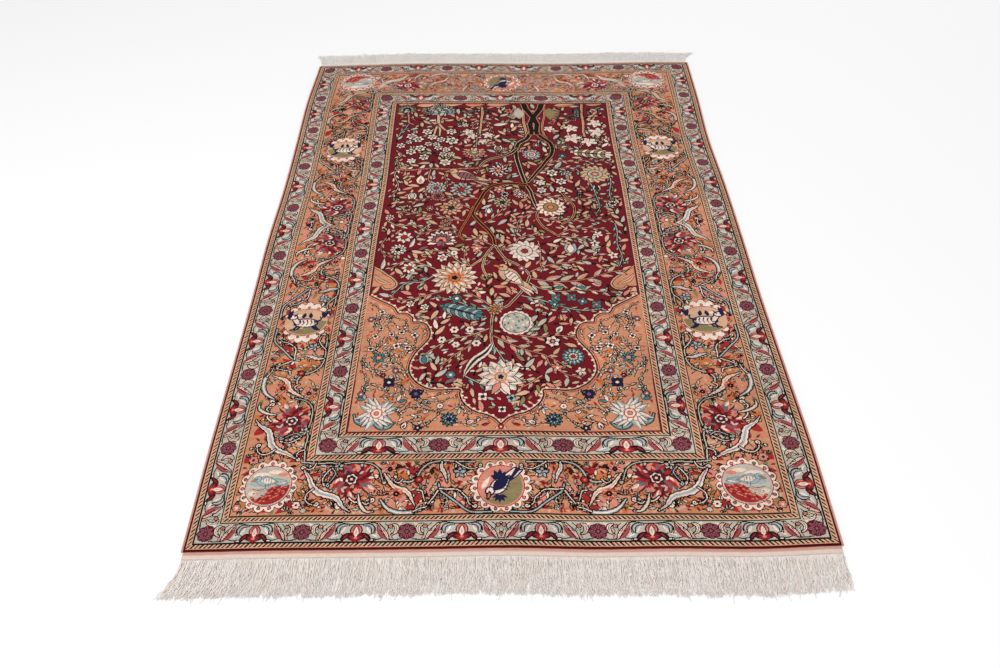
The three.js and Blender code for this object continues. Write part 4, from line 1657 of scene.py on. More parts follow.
@dataclass(frozen=True)
class Plan:
    """The pile's outline from above: its size and how far each edge bows at even steps along it."""

    width: float = 1030.0
    length: float = 1545.0
    left: Tuple[float, ...] = (-1, 1.5, 2, 2.5, 5, 2, 4, 7, 1)
    right: Tuple[float, ...] = (-3, -1, -4.5, -7.5, -7, -8, -12.5, -7, -5)
    near: Tuple[float, ...] = (1, -1, -1, -1.5, -2.5, 1.5, 1, 3, -1.5)
    far: Tuple[float, ...] = (-5, 0, 5, 3.5, 0, -4, -3, 0, -2)

    def at(self, across: np.ndarray, up: np.ndarray) -> Grids:
        """Give the point at a share across and a share up, about the unbowed rectangle's centre.

        Args:
            across: The shares across.
            up: The shares up.

        Returns:
            The points' x and y.
        """
        x = (across - 0.5) * self.width + along(self.right, up) * across - along(self.left, up) * (1 - across)
        y = (up - 0.5) * self.length + along(self.far, across) * up - along(self.near, across) * (1 - up)
        return x, y


class Layout:
    """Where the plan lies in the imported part's frame."""

    def __init__(self, plan: Plan) -> None:
        """Set the plan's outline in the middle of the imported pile's box.

        Args:
            plan: The pile's outline from above.
        """
        share, ends = np.linspace(0, 1, 600), (0.0, 1.0)
        sides = [plan.at(share, np.full(share.shape, e)) for e in ends]
        sides += [plan.at(np.full(share.shape, e), share) for e in ends]
        outline = np.hstack([np.vstack(side) for side in sides])
        low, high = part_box("pile")
        middle = np.array([low[0] + high[0], low[1] + high[1]]) / 2 / MM
        self.plan = plan
        self.shift = middle - (outline.min(1) + outline.max(1)) / 2

    def at(self, across: np.ndarray, up: np.ndarray) -> Grids:
        """Give the point of the part's frame at a share across and a share up."""
        x, y = self.plan.at(across, up)
        return x + self.shift[0], y + self.shift[1]

    def past_end(self, end: End, across: np.ndarray, out: np.ndarray) -> Grids:
        """Give the point a distance out past an end's edge."""
        x, y = self.at(across, np.full(np.shape(across), (end + 1) / 2))
        return x, y + end * out

    def past_side(self, side: Side, up: np.ndarray, out: np.ndarray) -> Grids:
        """Give the point a distance out past a side's edge."""
        x, y = self.at(np.full(np.shape(up), (side + 1) / 2), up)
        return x + side * out, y


def add_piece(name: str, points: np.ndarray, faces: Faces, finish: bpy.types.Material) -> bpy.types.Object:
    """Make one piece from points in millimetres and faces.

    Args:
        name: The piece's name.
        points: The points, any shape with x, y and z last.
        faces: The corners of each face.
        finish: Its material.

    Returns:
        The object, at the origin and riding on the one body.
    """
    mesh = bpy.data.meshes.new(name)
    mesh.from_pydata(points.reshape(-1, 3) * MM, [], faces)
    mesh.shade_smooth()
    mesh.materials.append(finish)
    piece = bpy.data.objects.new(name, mesh)
    bpy.context.scene.collection.objects.link(piece)
    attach(piece, "root")
    return piece


def add_map(piece: bpy.types.Object, name: str, places: np.ndarray) -> None:
    """Give a piece a UV map, one place for each corner of its faces in turn."""
    piece.data.uv_layers.new(name=name).data.foreach_set("uv", places.astype(np.float32).ravel())


def tube_faces(tubes: int, stations: int, around: int) -> Faces:
    """List the faces of closed tubes whose points run tube by tube, station by station and then around.

    Args:
        tubes: How many tubes there are.
        stations: How many rings each tube has.
        around: How many points a ring has.

    Returns:
        The walls as four-cornered faces and one flat face at each end of each tube.
    """
    tube, station, k = np.meshgrid(*map(np.arange, (tubes, stations - 1, around)), indexing="ij")
    base = (tube * stations + station) * around
    turn = (k + 1) % around
    walls = np.stack([base + k, base + turn, base + around + turn, base + around + k], -1).reshape(-1, 4)
    first = np.arange(tubes)[:, None] * stations * around
    ring = np.arange(around)
    starts = first + ring[::-1]
    ends = first + (stations - 1) * around + ring
    return walls.tolist() + starts.tolist() + ends.tolist()


# Finishes

Socket = bpy.types.NodeSocket


def linear(colour: Sequence[float]) -> Tuple[float, float, float, float]:
    """Turn a colour of screen values from 0 to 255 into a shader's linear colour.

    Args:
        colour: The screen values.

    Returns:
        The linear colour, with an opacity of one.
    """
    share = np.asarray(colour, float) / 255
    low, high = share / 12.92, ((share + 0.055) / 1.055) ** 2.4
    return (*np.where(share <= 0.04045, low, high).tolist(), 1.0)


class Board:
    """A node tree with short ways to set nodes down and join them."""

    def __init__(self, tree: bpy.types.NodeTree) -> None:
        """Work on a tree."""
        self.tree = tree

    def feed(self, socket: Socket, value: object) -> None:
        """Join a socket to another one, or set its constant.

        Args:
            socket: The socket that takes it.
            value: Another node's socket, or a plain value.
        """
        if isinstance(value, bpy.types.NodeSocket):
            self.tree.links.new(value, socket)
        else:
            socket.default_value = value

    def add(self, kind: str, inputs: Optional[dict] = None, **settings: object) -> bpy.types.Node:
        """Set down a node.

        Args:
            kind: The node's type, without the words ShaderNode.
            inputs: What goes into its sockets, by name or number.
            settings: Its own settings.

        Returns:
            The node.
        """
        node = self.tree.nodes.new(kind if kind.startswith("Node") else "ShaderNode" + kind)
        for key, value in settings.items():
            setattr(node, key, value)
        for key, value in (inputs or {}).items():
            self.feed(node.inputs[key], value)
        return node

    def math(self, operation: str, *values: Union[float, Socket]) -> Socket:
        """Work out a sum on numbers."""
        return self.add("Math", dict(enumerate(values)), operation=operation).outputs[0]

    def scaled(self, vector: Socket, scale: Sequence[float]) -> Socket:
        """Multiply a vector's three parts."""
        return self.add("VectorMath", {0: vector, 1: tuple(scale)}, operation="MULTIPLY").outputs[0]

    def parts(self, vector: Socket) -> bpy.types.NodeOutputs:
        """Split a vector into its three parts."""
        return self.add("SeparateXYZ", {0: vector}).outputs

    def blend(self, share: Union[float, Socket], one: object, other: object, way: str = "MIX") -> Socket:
        """Mix two colours."""
        return self.add("Mix", {0: share, 6: one, 7: other}, data_type="RGBA", blend_type=way).outputs[2]

    def spread(self, value: Socket, low: float, high: float, start: float = 0.0, stop: float = 1.0) -> Socket:
        """Move a value's range from start and stop to low and high, and hold it there."""
        return self.add("MapRange", {0: value, 1: start, 2: stop, 3: low, 4: high}).outputs[0]

    def noise(self, vector: Socket, scale: float, detail: float = 2.0) -> Socket:
        """Read cloudy noise at a vector."""
        return self.add("TexNoise", {"Vector": vector, "Scale": scale, "Detail": detail}).outputs[0]

    def wave(self, place: Socket, length: float) -> Socket:
        """Read a sine wave of one length along a place."""
        return self.math("SINE", self.math("MULTIPLY", place, 2 * math.pi / length))

    def fuzz(self, effects: "Effects", fineness: float) -> bpy.types.NodeOutputs:
        """Set down the group for loose fibres on the piece's own place, and give its Shade and Height."""
        place = self.add("TexCoord").outputs["Object"]
        return self.add("Group", {0: place, 1: fineness}, node_tree=effects.fuzz).outputs


def new_group(name: str, inputs: Sequence[Tuple[str, str]], outputs: Sequence[Tuple[str, str]]) -> Board:
    """Start a shared group of nodes.

    Args:
        name: The group's name.
        inputs: Each input's name and the end of its socket type's name.
        outputs: The same for the outputs.

    Returns:
        The group's board.
    """
    tree = bpy.data.node_groups.new(name, "ShaderNodeTree")
    for words, way in ((inputs, "INPUT"), (outputs, "OUTPUT")):
        for word, kind in words:
            tree.interface.new_socket(word, in_out=way, socket_type="NodeSocket" + kind)
    return Board(tree)


class Effects:
    """The groups of nodes that the finishes place."""

    def __init__(self) -> None:
        """Make the groups."""
        self.fuzz = self._make_fuzz()
        self.yarn = self._make_yarn_reader()

    def _make_fuzz(self) -> bpy.types.NodeTree:
        """Make the group for loose fibres: a Shade and a Height from noise stretched along the yarn.

        Returns:
            The group.
        """
        board = new_group("Yarn fuzz", [("Vector", "Vector"), ("Fineness", "Float")],
                          [("Shade", "Float"), ("Height", "Float")])
        given = board.add("NodeGroupInput").outputs
        place = board.add("VectorMath", {0: given[0], 3: given[1]}, operation="SCALE").outputs[0]
        fibre = board.noise(board.scaled(place, (1.0, 0.16, 1.0)), 1.0, 3.0)
        patch = board.noise(place, 0.13, 2.0)
        shade = board.math("ADD", board.math("MULTIPLY", fibre, 0.6), board.math("MULTIPLY", patch, 0.4))
        board.add("NodeGroupOutput", {0: board.spread(shade, 0, 1, 0.3, 0.7), 1: fibre})
        return board.tree

    def _make_yarn_reader(self) -> bpy.types.NodeTree:
        """Make the group that reads the pile's yarns from its faces.

        A face carries six rows of six knots. Each row is one number of six digits to the base 16, the first
        knot in the lowest digit, so the digit wanted is the row's number over 16 to the knot's place, and of
        that the remainder by 16.

        Returns:
            The group.
        """
        board = new_group("Yarn reader", [], [("Yarn", "Float")])
        place = board.parts(board.add("UVMap", uv_map=KNOT_MAP).outputs[0])
        column, row = (board.math("FLOOR", board.math("MINIMUM", place[k], CELL - 0.001)) for k in range(2))
        total = None
        for first, name in ((0, ROWS_LOW), (3, ROWS_HIGH)):
            held = board.parts(board.add("Attribute", attribute_name=name).outputs["Vector"])
            for k in range(3):
                one = board.math("MULTIPLY", held[k], board.math("COMPARE", row, float(first + k), 0.1))
                total = one if total is None else board.math("ADD", total, one)
        fall = 1 / YARN_BASE - 1
        for k in range(1, CELL):
            step = board.math("MULTIPLY_ADD", board.math("GREATER_THAN", column, k - 0.5), fall, 1.0)
            total = board.math("MULTIPLY", total, step)
        digit = board.math("MODULO", board.math("FLOOR", total), float(YARN_BASE))
        share = board.math("MULTIPLY", board.math("ADD", digit, 0.5), 1 / YARN_BASE)
        board.add("NodeGroupOutput", {0: share})
        return board.tree


@dataclass(frozen=True)
class ClothFinish:
    """What the cloth finishes share: roughness, sheen and how deep the fibres' relief is, in millimetres."""

    name: str
    roughness: float = 0.8
    sheen: float = 0.2
    relief: float = 0.2
    gloss: float = 0.25

    def start(self) -> Tuple[bpy.types.Material, Board]:
        """Start the material and clear its nodes.

        Returns:
            The material and the board of its nodes.
        """
        material = bpy.data.materials.new(self.name)
        material.use_nodes = True
        material.node_tree.nodes.clear()
        return material, Board(material.node_tree)

    def close(self, board: Board, colour: Socket, height: Socket, roughness: Optional[Socket] = None) -> None:
        """Join colour and relief to the surface.

        Args:
            board: The material's board.
            colour: The surface's colour.
            height: Its relief's height, as a share of the relief's depth.
            roughness: Its roughness where that varies.
        """
        bump = board.add("Bump", {"Strength": 0.7, "Distance": self.relief * MM, "Height": height})
        surface = board.add("BsdfPrincipled", {
            "Base Color": colour,
            "Roughness": self.roughness if roughness is None else roughness,
            "Specular IOR Level": self.gloss,
            "Sheen Weight": self.sheen,
            "Sheen Roughness": 0.4,
            "Normal": bump.outputs[0],
        })
        board.add("OutputMaterial", {0: surface.outputs[0]})


@dataclass(frozen=True)
class PileFinish(ClothFinish):
    """Silk pile: the chart's yarns, each knot a little lighter or darker, in dye bands and rows of knots, and
    in slow patches of painted sheen.
    """

    name: str = "silk pile"
    roughness: float = 0.7
    sheen: float = 0.02
    relief: float = 0.35
    gloss: float = 0.1
    knot_change: float = 0.20
    # how much the dye bands and the slow patches of painted sheen change the lightness
    band_and_sheen_change: float = 0.12
    underside: Colour = (206, 178, 158)
    underside_share: float = 0.28
    underside_roughness: float = 0.9
    cut_edge: Colour = (120, 40, 44)
    warmer: Colour = (1.06, 0.9, 0.86)
    greyer: Colour = (0.94, 1.08, 1.12)

    def yarn_colour(self, board: Board, effects: Effects) -> Socket:
        """Colour each knot by the yarn's number that the reader gives.

        Args:
            board: The material's board.
            effects: The shared groups.

        Returns:
            The colour.
        """
        ramp = board.add("ValToRGB", {0: board.add("Group", node_tree=effects.yarn).outputs[0]})
        stops = ramp.color_ramp
        stops.interpolation = "CONSTANT"
        while len(stops.elements) < len(Yarn):
            stops.elements.new(0.5)
        for yarn in Yarn:
            stops.elements[yarn].position = yarn / YARN_BASE
            stops.elements[yarn].color = linear(YARN_COLOURS[yarn])
        return ramp.outputs[0]

    def shade(self, board: Board, weave: Socket) -> Socket:
        """Make the lightness: by chance for each knot, in dye bands along the rows, and in slow patches of
        painted silk sheen.

        Args:
            board: The material's board.
            weave: The place on the cloth in knots.

        Returns:
            What a colour is multiplied by.
        """
        knot = board.add("VectorMath", {0: weave}, operation="FLOOR").outputs[0]
        chance = board.add("TexWhiteNoise", {"Vector": knot}, noise_dimensions="2D").outputs[0]
        band = board.noise(board.scaled(weave, (0.004, 0.11, 1.0)), 1.0, 4.0)
        # patch is painted sheen: slow lighter and darker patches, as a silk pile's sheen shows them, painted
        # into the colour
        patch = board.noise(board.scaled(weave, (0.012, 0.008, 1.0)), 1.0, 3.0)
        shade = board.spread(chance, 1 - self.knot_change, 1 + self.knot_change)
        for slow in (band, patch):
            change = board.spread(slow, -self.band_and_sheen_change, self.band_and_sheen_change, 0.3, 0.7)
            shade = board.math("ADD", shade, change)
        return shade

    def height(self, board: Board, weave: Socket) -> Socket:
        """Make the relief: each knot a pillow, the root of a sine both ways, under a cloud of tufts.

        Args:
            board: The material's board.
            weave: The place on the cloth in knots.

        Returns:
            The height.
        """
        within = board.parts(board.add("VectorMath", {0: weave}, operation="FRACTION").outputs[0])
        ridges = (board.math("SINE", board.math("MULTIPLY", within[k], math.pi)) for k in range(2))
        pillow = board.math("MULTIPLY", *(board.math("POWER", ridge, 0.5) for ridge in ridges))
        tuft = board.noise(weave, 0.9, 2.0)
        return board.math("ADD", board.math("MULTIPLY", pillow, 0.5), board.math("MULTIPLY", tuft, 0.8))

    def make(self, effects: Effects) -> bpy.types.Material:
        """Make the material, in which the dye takes unevenly: clouds of every colour go warmer or greyer.

        Args:
            effects: The shared groups.

        Returns:
            The material.
        """
        material, board = self.start()
        yarn = self.yarn_colour(board, effects)
        weave = board.add("UVMap", uv_map=WEAVE_MAP).outputs[0]
        cloud = board.spread(board.noise(board.scaled(weave, (0.07, 0.1, 1.0)), 1.0, 3.0), 0, 1, 0.3, 0.7)
        uneven = board.blend(cloud, (*self.warmer, 1.0), (*self.greyer, 1.0))
        dyed = board.blend(1.0, yarn, uneven, "MULTIPLY")
        lit = board.add("VectorMath", {0: dyed, 3: self.shade(board, weave)}, operation="SCALE").outputs[0]
        mark = board.add("Attribute", attribute_name=SIDE_MARK).outputs["Fac"]
        under, edge = (board.math("COMPARE", mark, float(k), 0.2) for k in (Surface.UNDERSIDE, Surface.WALL))
        pale = board.math("MULTIPLY", under, self.underside_share)
        back = board.blend(pale, lit, linear(self.underside))
        colour = board.blend(edge, back, linear(self.cut_edge))
        roughness = board.spread(under, self.roughness, self.underside_roughness)
        self.close(board, colour, self.height(board, weave), roughness)
        return material


@dataclass(frozen=True)
class YarnFinish(ClothFinish):
    """Loose or wound yarn: two tones that follow its fibres, and a third in patches."""

    name: str = "yarn"
    light: Colour = (232, 220, 208)
    dark: Colour = (190, 172, 164)
    patch: Colour = (222, 196, 180)
    fineness: float = 900.0
    patch_fineness: float = 24.0

    def make(self, effects: Effects) -> bpy.types.Material:
        """Make the material.

        Args:
            effects: The shared groups.

        Returns:
            The material.
        """
        material, board = self.start()
        place = board.add("TexCoord").outputs["Object"]
        fuzz = board.fuzz(effects, self.fineness)
        tone = board.blend(fuzz[0], linear(self.dark), linear(self.light))
        cloud = board.spread(board.noise(place, self.patch_fineness, 3.0), 0.0, 0.7, 0.42, 0.66)
        colour = board.blend(cloud, tone, board.blend(0.5, tone, linear(self.patch)))
        self.close(board, colour, fuzz[1])
        return material


@dataclass(frozen=True)
class WebFinish(ClothFinish):
    """Plain weave: a pink band next to the pile, then natural cotton, with warps and wefts crossing."""

    name: str = "plain weave"
    relief: float = 0.25
    band: Colour = (212, 154, 136)
    cotton: Colour = (232, 212, 200)
    dusk: Colour = (150, 128, 116)
    thread: float = 1.3
    fineness: float = 1100.0

    def make(self, effects: Effects) -> bpy.types.Material:
        """Make the material, its band ending along a line that wanders a little.

        Args:
            effects: The shared groups.

        Returns:
            The material.
        """
        material, board = self.start()
        weave = board.add("UVMap", uv_map=WEAVE_MAP).outputs[0]
        place = board.parts(weave)
        wander = board.noise(board.scaled(weave, (0.02, 0.0, 1.0)), 1.0, 3.0)
        line = board.math("ADD", place[1], board.math("MULTIPLY", board.math("SUBTRACT", wander, 0.5), 0.3))
        past_band = board.spread(line, 0, 1, 0.8, 1.2)
        fuzz = board.fuzz(effects, self.fineness)
        colour = board.blend(past_band, linear(self.band), linear(self.cotton))
        dusted = board.blend(board.spread(fuzz[0], 0.30, 0.0), colour, linear(self.dusk))
        warp, weft = (board.wave(place[k], self.thread) for k in (0, 2))
        height = board.math("ADD", board.math("MULTIPLY", warp, 0.25), board.math("MULTIPLY", weft, 0.15))
        self.close(board, dusted, board.math("ADD", height, fuzz[1]))
        return material


# Pieces

@dataclass(frozen=True)
class Pile:
    """The knotted pile: flat below, its top rounded over at the edges and rippling a little."""

    plan: Plan
    height: float = 5.0
    shoulder: float = 1.4
    shoulder_reach: float = 9.0
    ripple: float = 0.35
    ripple_across: float = 2.3
    ripple_along: float = 3.6
    lift: float = 30.0  # how far the middle rows lie past an even spacing
    lift_power: float = 1.4
    columns: int = KNOTS_ACROSS // CELL
    rows: int = KNOTS_ALONG // CELL
    # On the baked map: the underside's size against the top's, the corners where it and the walls lie, the
    # walls' squares, how far they are apart and how many are in a row
    underside_share: float = 0.5
    underside_corner: Point = (0.667, 0.0)
    wall_corner: Point = (0.68, 0.52)
    wall_square: float = 0.004
    wall_step: float = 0.006
    walls_in_row: int = 50

    def weave_place(self, column: np.ndarray, row: np.ndarray) -> Grids:
        """Give the shares across and up the plan where a share of the chart lies in the cloth.

        The weaving wanders: rows in the middle lie further on by the lift times sin(pi row^1.4), and columns
        lie to the left by the drift times sin(pi column).

        Args:
            column: The shares across the chart.
            row: The shares up it.

        Returns:
            The shares across and up the plan.
        """
        x = column - drift(row) / self.plan.width * np.sin(np.pi * column)
        y = row + self.lift / self.plan.length * np.sin(np.pi * row**self.lift_power)
        return x, y

    def top_height(self, across: np.ndarray, up: np.ndarray) -> np.ndarray:
        """Give the top's height: the full height less a rounded shoulder near the edges, and a slow ripple.

        Args:
            across: The shares across the plan.
            up: The shares up it.

        Returns:
            The heights.
        """
        inward = np.minimum(np.minimum(across, 1 - across) * self.plan.width,
                            np.minimum(up, 1 - up) * self.plan.length)
        t = np.clip(inward / self.shoulder_reach, 0, 1)
        edge = t * t * (3 - 2 * t)
        wave = np.sin(2 * np.pi * self.ripple_across * across) * np.cos(2 * np.pi * self.ripple_along * up)
        return self.height - self.shoulder * (1 - edge) + self.ripple * wave * edge

    def make(self, layout: Layout, chart: KnotChart, finish: bpy.types.Material) -> bpy.types.Object:
        """Make the pile as a grid of faces, a mirrored grid below and walls between, the chart on its faces.

        Args:
            layout: Where the rug lies.
            chart: The yarns.
            finish: The pile's material.

        Returns:
            The piece.
        """
        nx, ny = self.columns, self.rows
        across, up = self.weave_place(*np.meshgrid(np.linspace(0, 1, nx + 1), np.linspace(0, 1, ny + 1)))
        x, y = layout.at(across, up)
        points = np.stack([x, y, self.top_height(across, up)], -1), np.stack([x, y, np.zeros(x.shape)], -1)
        i, j = (k.ravel() for k in np.meshgrid(np.arange(nx), np.arange(ny)))
        corner = j * (nx + 1) + i
        upper = np.stack([corner, corner + 1, corner + nx + 2, corner + nx + 1], -1)
        below = (nx + 1) * (ny + 1)
        # The wall's faces: those of the top that a run hangs from, and the two of their corners at the edge
        cell = np.arange(nx * ny).reshape(ny, nx)
        runs = ((cell[0], 0, 1), (cell[:, -1], 1, 2), (cell[-1][::-1], 2, 3), (cell[::-1, 0], 3, 0))
        lower = upper[:, ::-1] + below
        walls = np.vstack([np.stack([upper[c, a] + below, upper[c, b] + below, upper[c, b], upper[c, a]], -1)
                           for c, a, b in runs])
        faces = np.vstack([upper, lower, walls])
        piece = add_piece("rug_pile", np.stack(points), faces.tolist(), finish)

        source = np.concatenate([np.arange(nx * ny), np.arange(nx * ny), *(c for c, _, _ in runs)])
        mark = np.repeat(list(Surface), [len(upper), len(lower), len(walls)])
        self.carry_chart(piece.data, chart, source, mark)
        local = SQUARE * CELL
        wall_local = np.vstack([np.tile(local[[a, b, b, a]], (len(c), 1, 1)) for c, a, b in runs])
        flat_local = [np.tile(one, (nx * ny, 1, 1)) for one in (local, local[::-1])]
        knots = np.vstack([*flat_local, wall_local])
        whole = knots + (np.stack([i, j], -1)[:, None, :] * CELL)[source]
        add_map(piece, BAKE_MAP, self.bake_places(whole, mark))
        add_map(piece, KNOT_MAP, knots)
        add_map(piece, WEAVE_MAP, whole)
        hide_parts("pile")
        return piece

    def carry_chart(self, mesh: bpy.types.Mesh, chart: KnotChart, source: np.ndarray,
                    mark: np.ndarray) -> None:
        """Put the chart on the faces: each row of a face's knots as one number to the base 16.

        Args:
            mesh: The pile's mesh.
            chart: The yarns.
            source: For each face, the top face whose knots it carries.
            mark: For each face, the surface that it belongs to.
        """
        blocks = chart.yarns.reshape(self.rows, CELL, self.columns, CELL).transpose(0, 2, 1, 3).astype(float)
        codes = (blocks * float(YARN_BASE) ** np.arange(CELL)).sum(-1).reshape(-1, CELL)[source]
        for name, part in ((ROWS_LOW, codes[:, :3]), (ROWS_HIGH, codes[:, 3:])):
            held = mesh.attributes.new(name, "FLOAT_VECTOR", "FACE")
            held.data.foreach_set("vector", part.astype(np.float32).ravel())
        marks = mesh.attributes.new(SIDE_MARK, "FLOAT", "FACE")
        marks.data.foreach_set("value", mark.astype(np.float32))

    def bake_places(self, whole: np.ndarray, mark: np.ndarray) -> np.ndarray:
        """Lay the top large, the underside smaller beside it and the walls in rows of squares.

        Args:
            whole: Each face corner's place on the chart, in knots.
            mark: For each face, the surface that it belongs to.

        Returns:
            Each face corner's place on the map.
        """
        out = whole / KNOTS_ALONG
        under = mark == Surface.UNDERSIDE
        out[under] = out[under] * self.underside_share + np.array(self.underside_corner)
        slot = np.arange(np.count_nonzero(mark == Surface.WALL))[:, None, None]
        step = np.concatenate([slot % self.walls_in_row, slot // self.walls_in_row], -1) * self.wall_step
        out[mark == Surface.WALL] = np.array(self.wall_corner) + step + SQUARE * self.wall_square
        return out


@dataclass(frozen=True)
class Selvedge:
    """The cord wound round the outer warps down one long side."""

    side: Side
    node: str
    width: float = 4.0
    height: float = 4.2
    pitch: float = 3.4
    steps_a_turn: int = 6
    around: int = 8
    groove: float = 0.09
    inset: float = 0.98  # the cord's half-width against the width that it may fill

    def make(self, layout: Layout, finish: bpy.types.Material) -> bpy.types.Object:
        """Make the cord: an oval ring along the edge, drawn in by a share, groove, where two turns meet.

        The turns lean, so at station s the ring's radius is 1 - groove |cos(pi s / turn + angle / 2)|^4. Two
        slow waves along the cord make it a little thicker and thinner.

        Args:
            layout: Where the rug lies.
            finish: The cord's material.

        Returns:
            The piece.
        """
        length = layout.plan.length
        stations = int(length / self.pitch * self.steps_a_turn) + 1
        up, turn = np.meshgrid(np.linspace(0, 1, stations), np.arange(self.around) / self.around * 2 * np.pi,
                               indexing="ij")
        winding = np.pi * up * length / self.pitch + turn / 2
        swell = 1 + 0.02 * np.sin(up * 61) + 0.015 * np.sin(up * 173 + 1)
        size = (1 - self.groove * np.abs(np.cos(winding)) ** 4) * swell
        reach = PIECE_GAP + self.width / 2 * (1 + np.cos(turn) * size * self.inset)
        x, y = layout.past_side(self.side, up, reach)
        z = np.clip(self.height / 2 * (1 + np.sin(turn) * size), 0, None)
        points = np.stack([x, y, z], -1)
        if self.side is Side.RIGHT:
            points = points[:, ::-1]
        piece = add_piece(f"rug_{self.node}", points, tube_faces(1, stations, self.around), finish)
        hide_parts(self.node)
        return piece


@dataclass(frozen=True)
class Web:
    """The flat-woven strip past one end: its depth and how deep its pink band is."""

    end: End
    node: str
    depth: float
    band: float
    height: float = 2.0
    rib_foot: float = 0.45  # how far the ribs' feet lie below the strip's height
    rib_height: float = 0.4
    edge_drop: float = 0.9  # how far its two edges lie below its height
    ribs: int = 7
    points_a_rib: int = 3
    stations: int = 620

    def profile(self) -> Grids:
        """Give the strip's outline in section: ribs |sin(pi r)| over a flat underside.

        Returns:
            The distances out from the pile and the heights, round the strip.
        """
        out = np.linspace(0, self.depth, self.ribs * self.points_a_rib + 1)
        rib = np.abs(np.sin(np.pi * out / self.depth * self.ribs))
        rise = self.height - self.rib_foot + self.rib_height * rib
        rise[[0, -1]] = self.height - self.edge_drop
        return np.concatenate([[0], out, [self.depth]]), np.concatenate([[0], rise, [0]])

    def make(self, layout: Layout, finish: bpy.types.Material) -> bpy.types.Object:
        """Make the strip by carrying its outline along the end, its top waving a little.

        Its map holds millimetres across, and the distance out as a share of the band's depth, which tells the
        finish where the band ends.

        Args:
            layout: Where the rug lies.
            finish: The strip's material.

        Returns:
            The piece.
        """
        out, rise = self.profile()
        share, k = np.meshgrid(np.linspace(0, 1, self.stations), np.arange(len(out)), indexing="ij")
        away = out[k]
        wave = 0.12 * np.sin(share * 190 + away) + 0.08 * np.sin(share * 411 - away * 2)
        x, y = layout.past_end(self.end, share, PIECE_GAP + away)
        points = np.stack([x, y, np.maximum(rise[k] + wave * (rise[k] > 0), 0)], -1)
        if self.end is End.FAR:
            points, away, share = points[:, ::-1], away[:, ::-1], share[:, ::-1]
        faces = tube_faces(1, self.stations, len(out))
        piece = add_piece(f"rug_{self.node}", points, faces, finish)
        places = np.stack([share * layout.plan.width, away / self.band], -1).reshape(-1, 2)
        add_map(piece, WEAVE_MAP, places[np.concatenate([np.asarray(face) for face in faces])])
        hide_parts(self.node)
        return piece


@dataclass(frozen=True)
class Locks:
    """The locks that a fringe's yarns gather into: each yarn's lock, then each lock's place and its ways."""

    of_yarn: np.ndarray
    place: np.ndarray
    short: np.ndarray
    lean: np.ndarray
    wave: np.ndarray
    phase: np.ndarray

    def each(self, values: np.ndarray) -> np.ndarray:
        """Give each yarn its lock's value, as a column."""
        return values[self.of_yarn][:, None]


